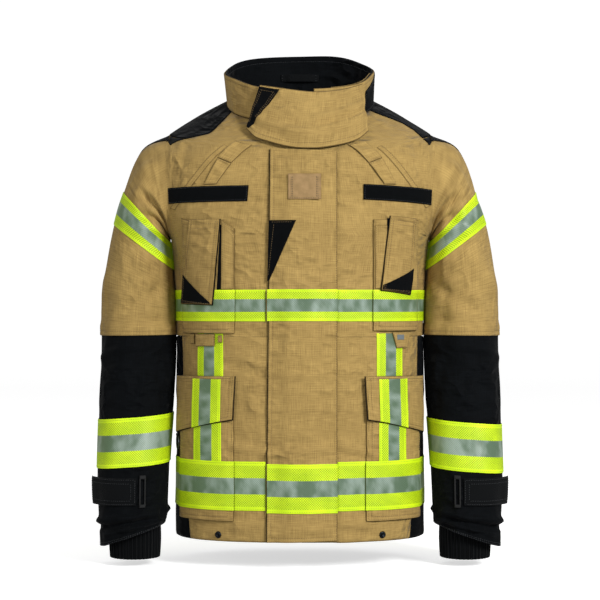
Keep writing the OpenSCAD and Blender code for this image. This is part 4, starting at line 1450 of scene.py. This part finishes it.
def cuff_parts(name, side):
    """The strap, the frame it passes through, and the knitted cuff inside the sleeve."""
    def area(q0, q1, s0, s1):
        return lambda a, b, t: sleeve(mix(q0, q1, a), mix(s0, s1, b), t, side)
    on_cuff = area(9, 98, 8.13, 8.71)

    def strap(a, b, t):
        return on_cuff(a, b, t + 5.5 * (1 - ease(a, 0.0, 0.3)) + 0.5 * np.sin(9 * a + 3 * b))
    group, size = name + "_cuff_tab", (104, 42)
    for inset in (2.4, 8):
        stitch_edges(group, strap, size, 3.0, inset)
    Cloth(layer(strap, size, 1.1, 3.0, step=3, groove=4)).make(
        group, WEBBING, name + "_cuff_strap", name + "_cuff_strap")
    make_stitches(group, STRAP_THREAD, name + "_cuff_strap")
    buckle = Cloth()
    for q0, q1, s0, s1 in ((102, 104.4, 8.07, 8.77), (109.6, 112, 8.07, 8.77),
                           (102, 112, 8.07, 8.15), (102, 112, 8.69, 8.77)):
        buckle.add(*layer(area(q0, q1, s0, s1), ((q1 - q0) * 1.1, (s1 - s0) * 72), GAP, 4.0,
                          step=1.5, groove=None))
    buckle.make(name + "_buckle", PLASTIC, name + "_lower_sleeve", name + "_cuff_buckle")

    def tube(a, b, t):
        turn = 2 * np.pi * a
        rib = 0.8 * np.sin(38 * turn) * ease(b, 0.02, 0.1) + 1.6 * np.sin(np.pi * b) - 1.0
        r = 39.0 + t + rib
        x = side * (262 + r * np.cos(turn))
        return np.stack([x, -WRIST_FORWARD - 1.12 * r * np.sin(turn), mix(34, -32, b)], -1)
    Cloth(layer(tube, (456, 66), -1.0, 1.0, free="bt", step=1, ring=True, groove=None,
                b=sample(66, 3.5, True, True))).make(
        name + "_knit_cuff", KNIT, name + "_lower_sleeve", name + "_wristlet")


# ---------------------------------------------------------------- camera, light and floor
def camera():
    made = bpy.data.cameras.new("camera")
    made.lens = 114.8
    made.sensor_width = 36
    eye = show("camera", made)
    eye.location = (0, -3.19, -0.37)
    eye.rotation_euler = (np.pi / 2, 0, 0)
    bpy.context.scene.camera = eye


def area_light(name, where, target, size, power):
    light = bpy.data.lights.new(name, "AREA")
    light.shape = "RECTANGLE"
    light.size, light.size_y = size
    light.energy = power
    thing = show(name, light)
    thing.location = where
    thing.rotation_euler = Vector(np.subtract(where, target)).to_track_quat("Z", "Y").to_euler()


def studio():
    """Soft light in a round white room, whose floor curves up into its wall."""
    world = bpy.data.worlds.new("studio")
    world.use_nodes = True
    colour, strength = world.node_tree.nodes["Background"].inputs[:2]
    colour.default_value = (1, 1, 1, 1)
    strength.default_value = 0.42
    bpy.context.scene.world = world
    bpy.context.scene.view_settings.view_transform = "Standard"
    middle = (0, 0, -0.35)
    area_light("key", (1.7, -2.6, 0.75), middle, (0.8, 0.8), 96)
    area_light("fill", (-1.5, -3.0, 0.2), middle, (1.4, 1.4), 23)
    area_light("rim", (0.6, 2.4, 1.8), (0, 0, -0.3), (2.0, 1.4), 12)
    drop = 0.012
    floor_z = CAD_BOX[0][2] - drop
    curve = np.linspace(0, np.pi / 2, 13)
    flat, bend, wall, sides = 6.0, 2.0, 14.0, 72
    reach = np.concatenate([[0.5], flat + bend * np.sin(curve), [flat + bend]])
    rise = np.concatenate([[0.0], bend - bend * np.cos(curve), [wall]])
    turn = 2 * np.pi * np.arange(sides) / sides
    points = [(r * np.cos(a), r * np.sin(a), floor_z + z) for r, z in zip(reach, rise) for a in turn]
    quads = [(k * sides + i, (k + 1) * sides + i, (k + 1) * sides + (i + 1) % sides,
              k * sides + (i + 1) % sides) for k in range(len(reach) - 1) for i in range(sides)]
    paper = Shade("white_paper", {"Roughness": 0.9, "Specular IOR Level": 0.05,
                                  "Emission Color": (1, 1, 1, 1), "Emission Strength": 0.6})
    fleck = paper.value("ShaderNodeTexNoise", {"Scale": 3.0})
    mesh = bpy.data.meshes.new("sweep")
    mesh.from_pydata(points, [], quads + [range(sides)])
    mesh.shade_smooth()
    mesh.materials.append(paper.finish(paper.mix(fleck, (0.86, 0.86, 0.86, 1), (0.88, 0.88, 0.88, 1))))
    sweep = show("sweep", mesh)
    # Only seen and shaded on: its white would light the coat from all sides and flatten it
    sweep.visible_diffuse = sweep.visible_glossy = sweep.visible_shadow = False


def dress(node, look):
    """Gives a CAD node that stays a better material."""
    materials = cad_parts[node].data.materials
    materials.clear()
    materials.append(look[0])


camera()
studio()
for build in (panels, yokes, linings, collar_pieces, hanger_loop, fasteners_and_strips,
              shoulder_straps, seams, tabs, chest_pockets, cargo_pockets, body_tapes, storm_flap,
              label, throat_flap, zipper, snaps, ring_tab, armholes, sleeves):
    build()
for node in ("zipper_slider", "zipper_pull", "tool_ring"):
    dress(node, STEEL)
for group, look, on in (
        ("coat_tan", TAN_THREAD, "coat"), ("coat_black", BLACK_THREAD, "coat"),
        ("coat_lime", LIME_THREAD, "coat"), ("flap_tan", TAN_THREAD, STORM_FLAP),
        ("flap_dark", DARK_THREAD, STORM_FLAP), ("flap_lime", LIME_THREAD, STORM_FLAP),
        ("flap_pale", PALE_THREAD, STORM_FLAP), ("throat_tan", TAN_THREAD, "throat_flap"),
        ("throat_pale", PALE_THREAD, "throat_flap"),
        ("right_chest_flap_pale", PALE_THREAD, "right_chest_flap"),
        ("left_chest_flap_pale", PALE_THREAD, "left_chest_flap")):
    make_stitches(group, look, on)
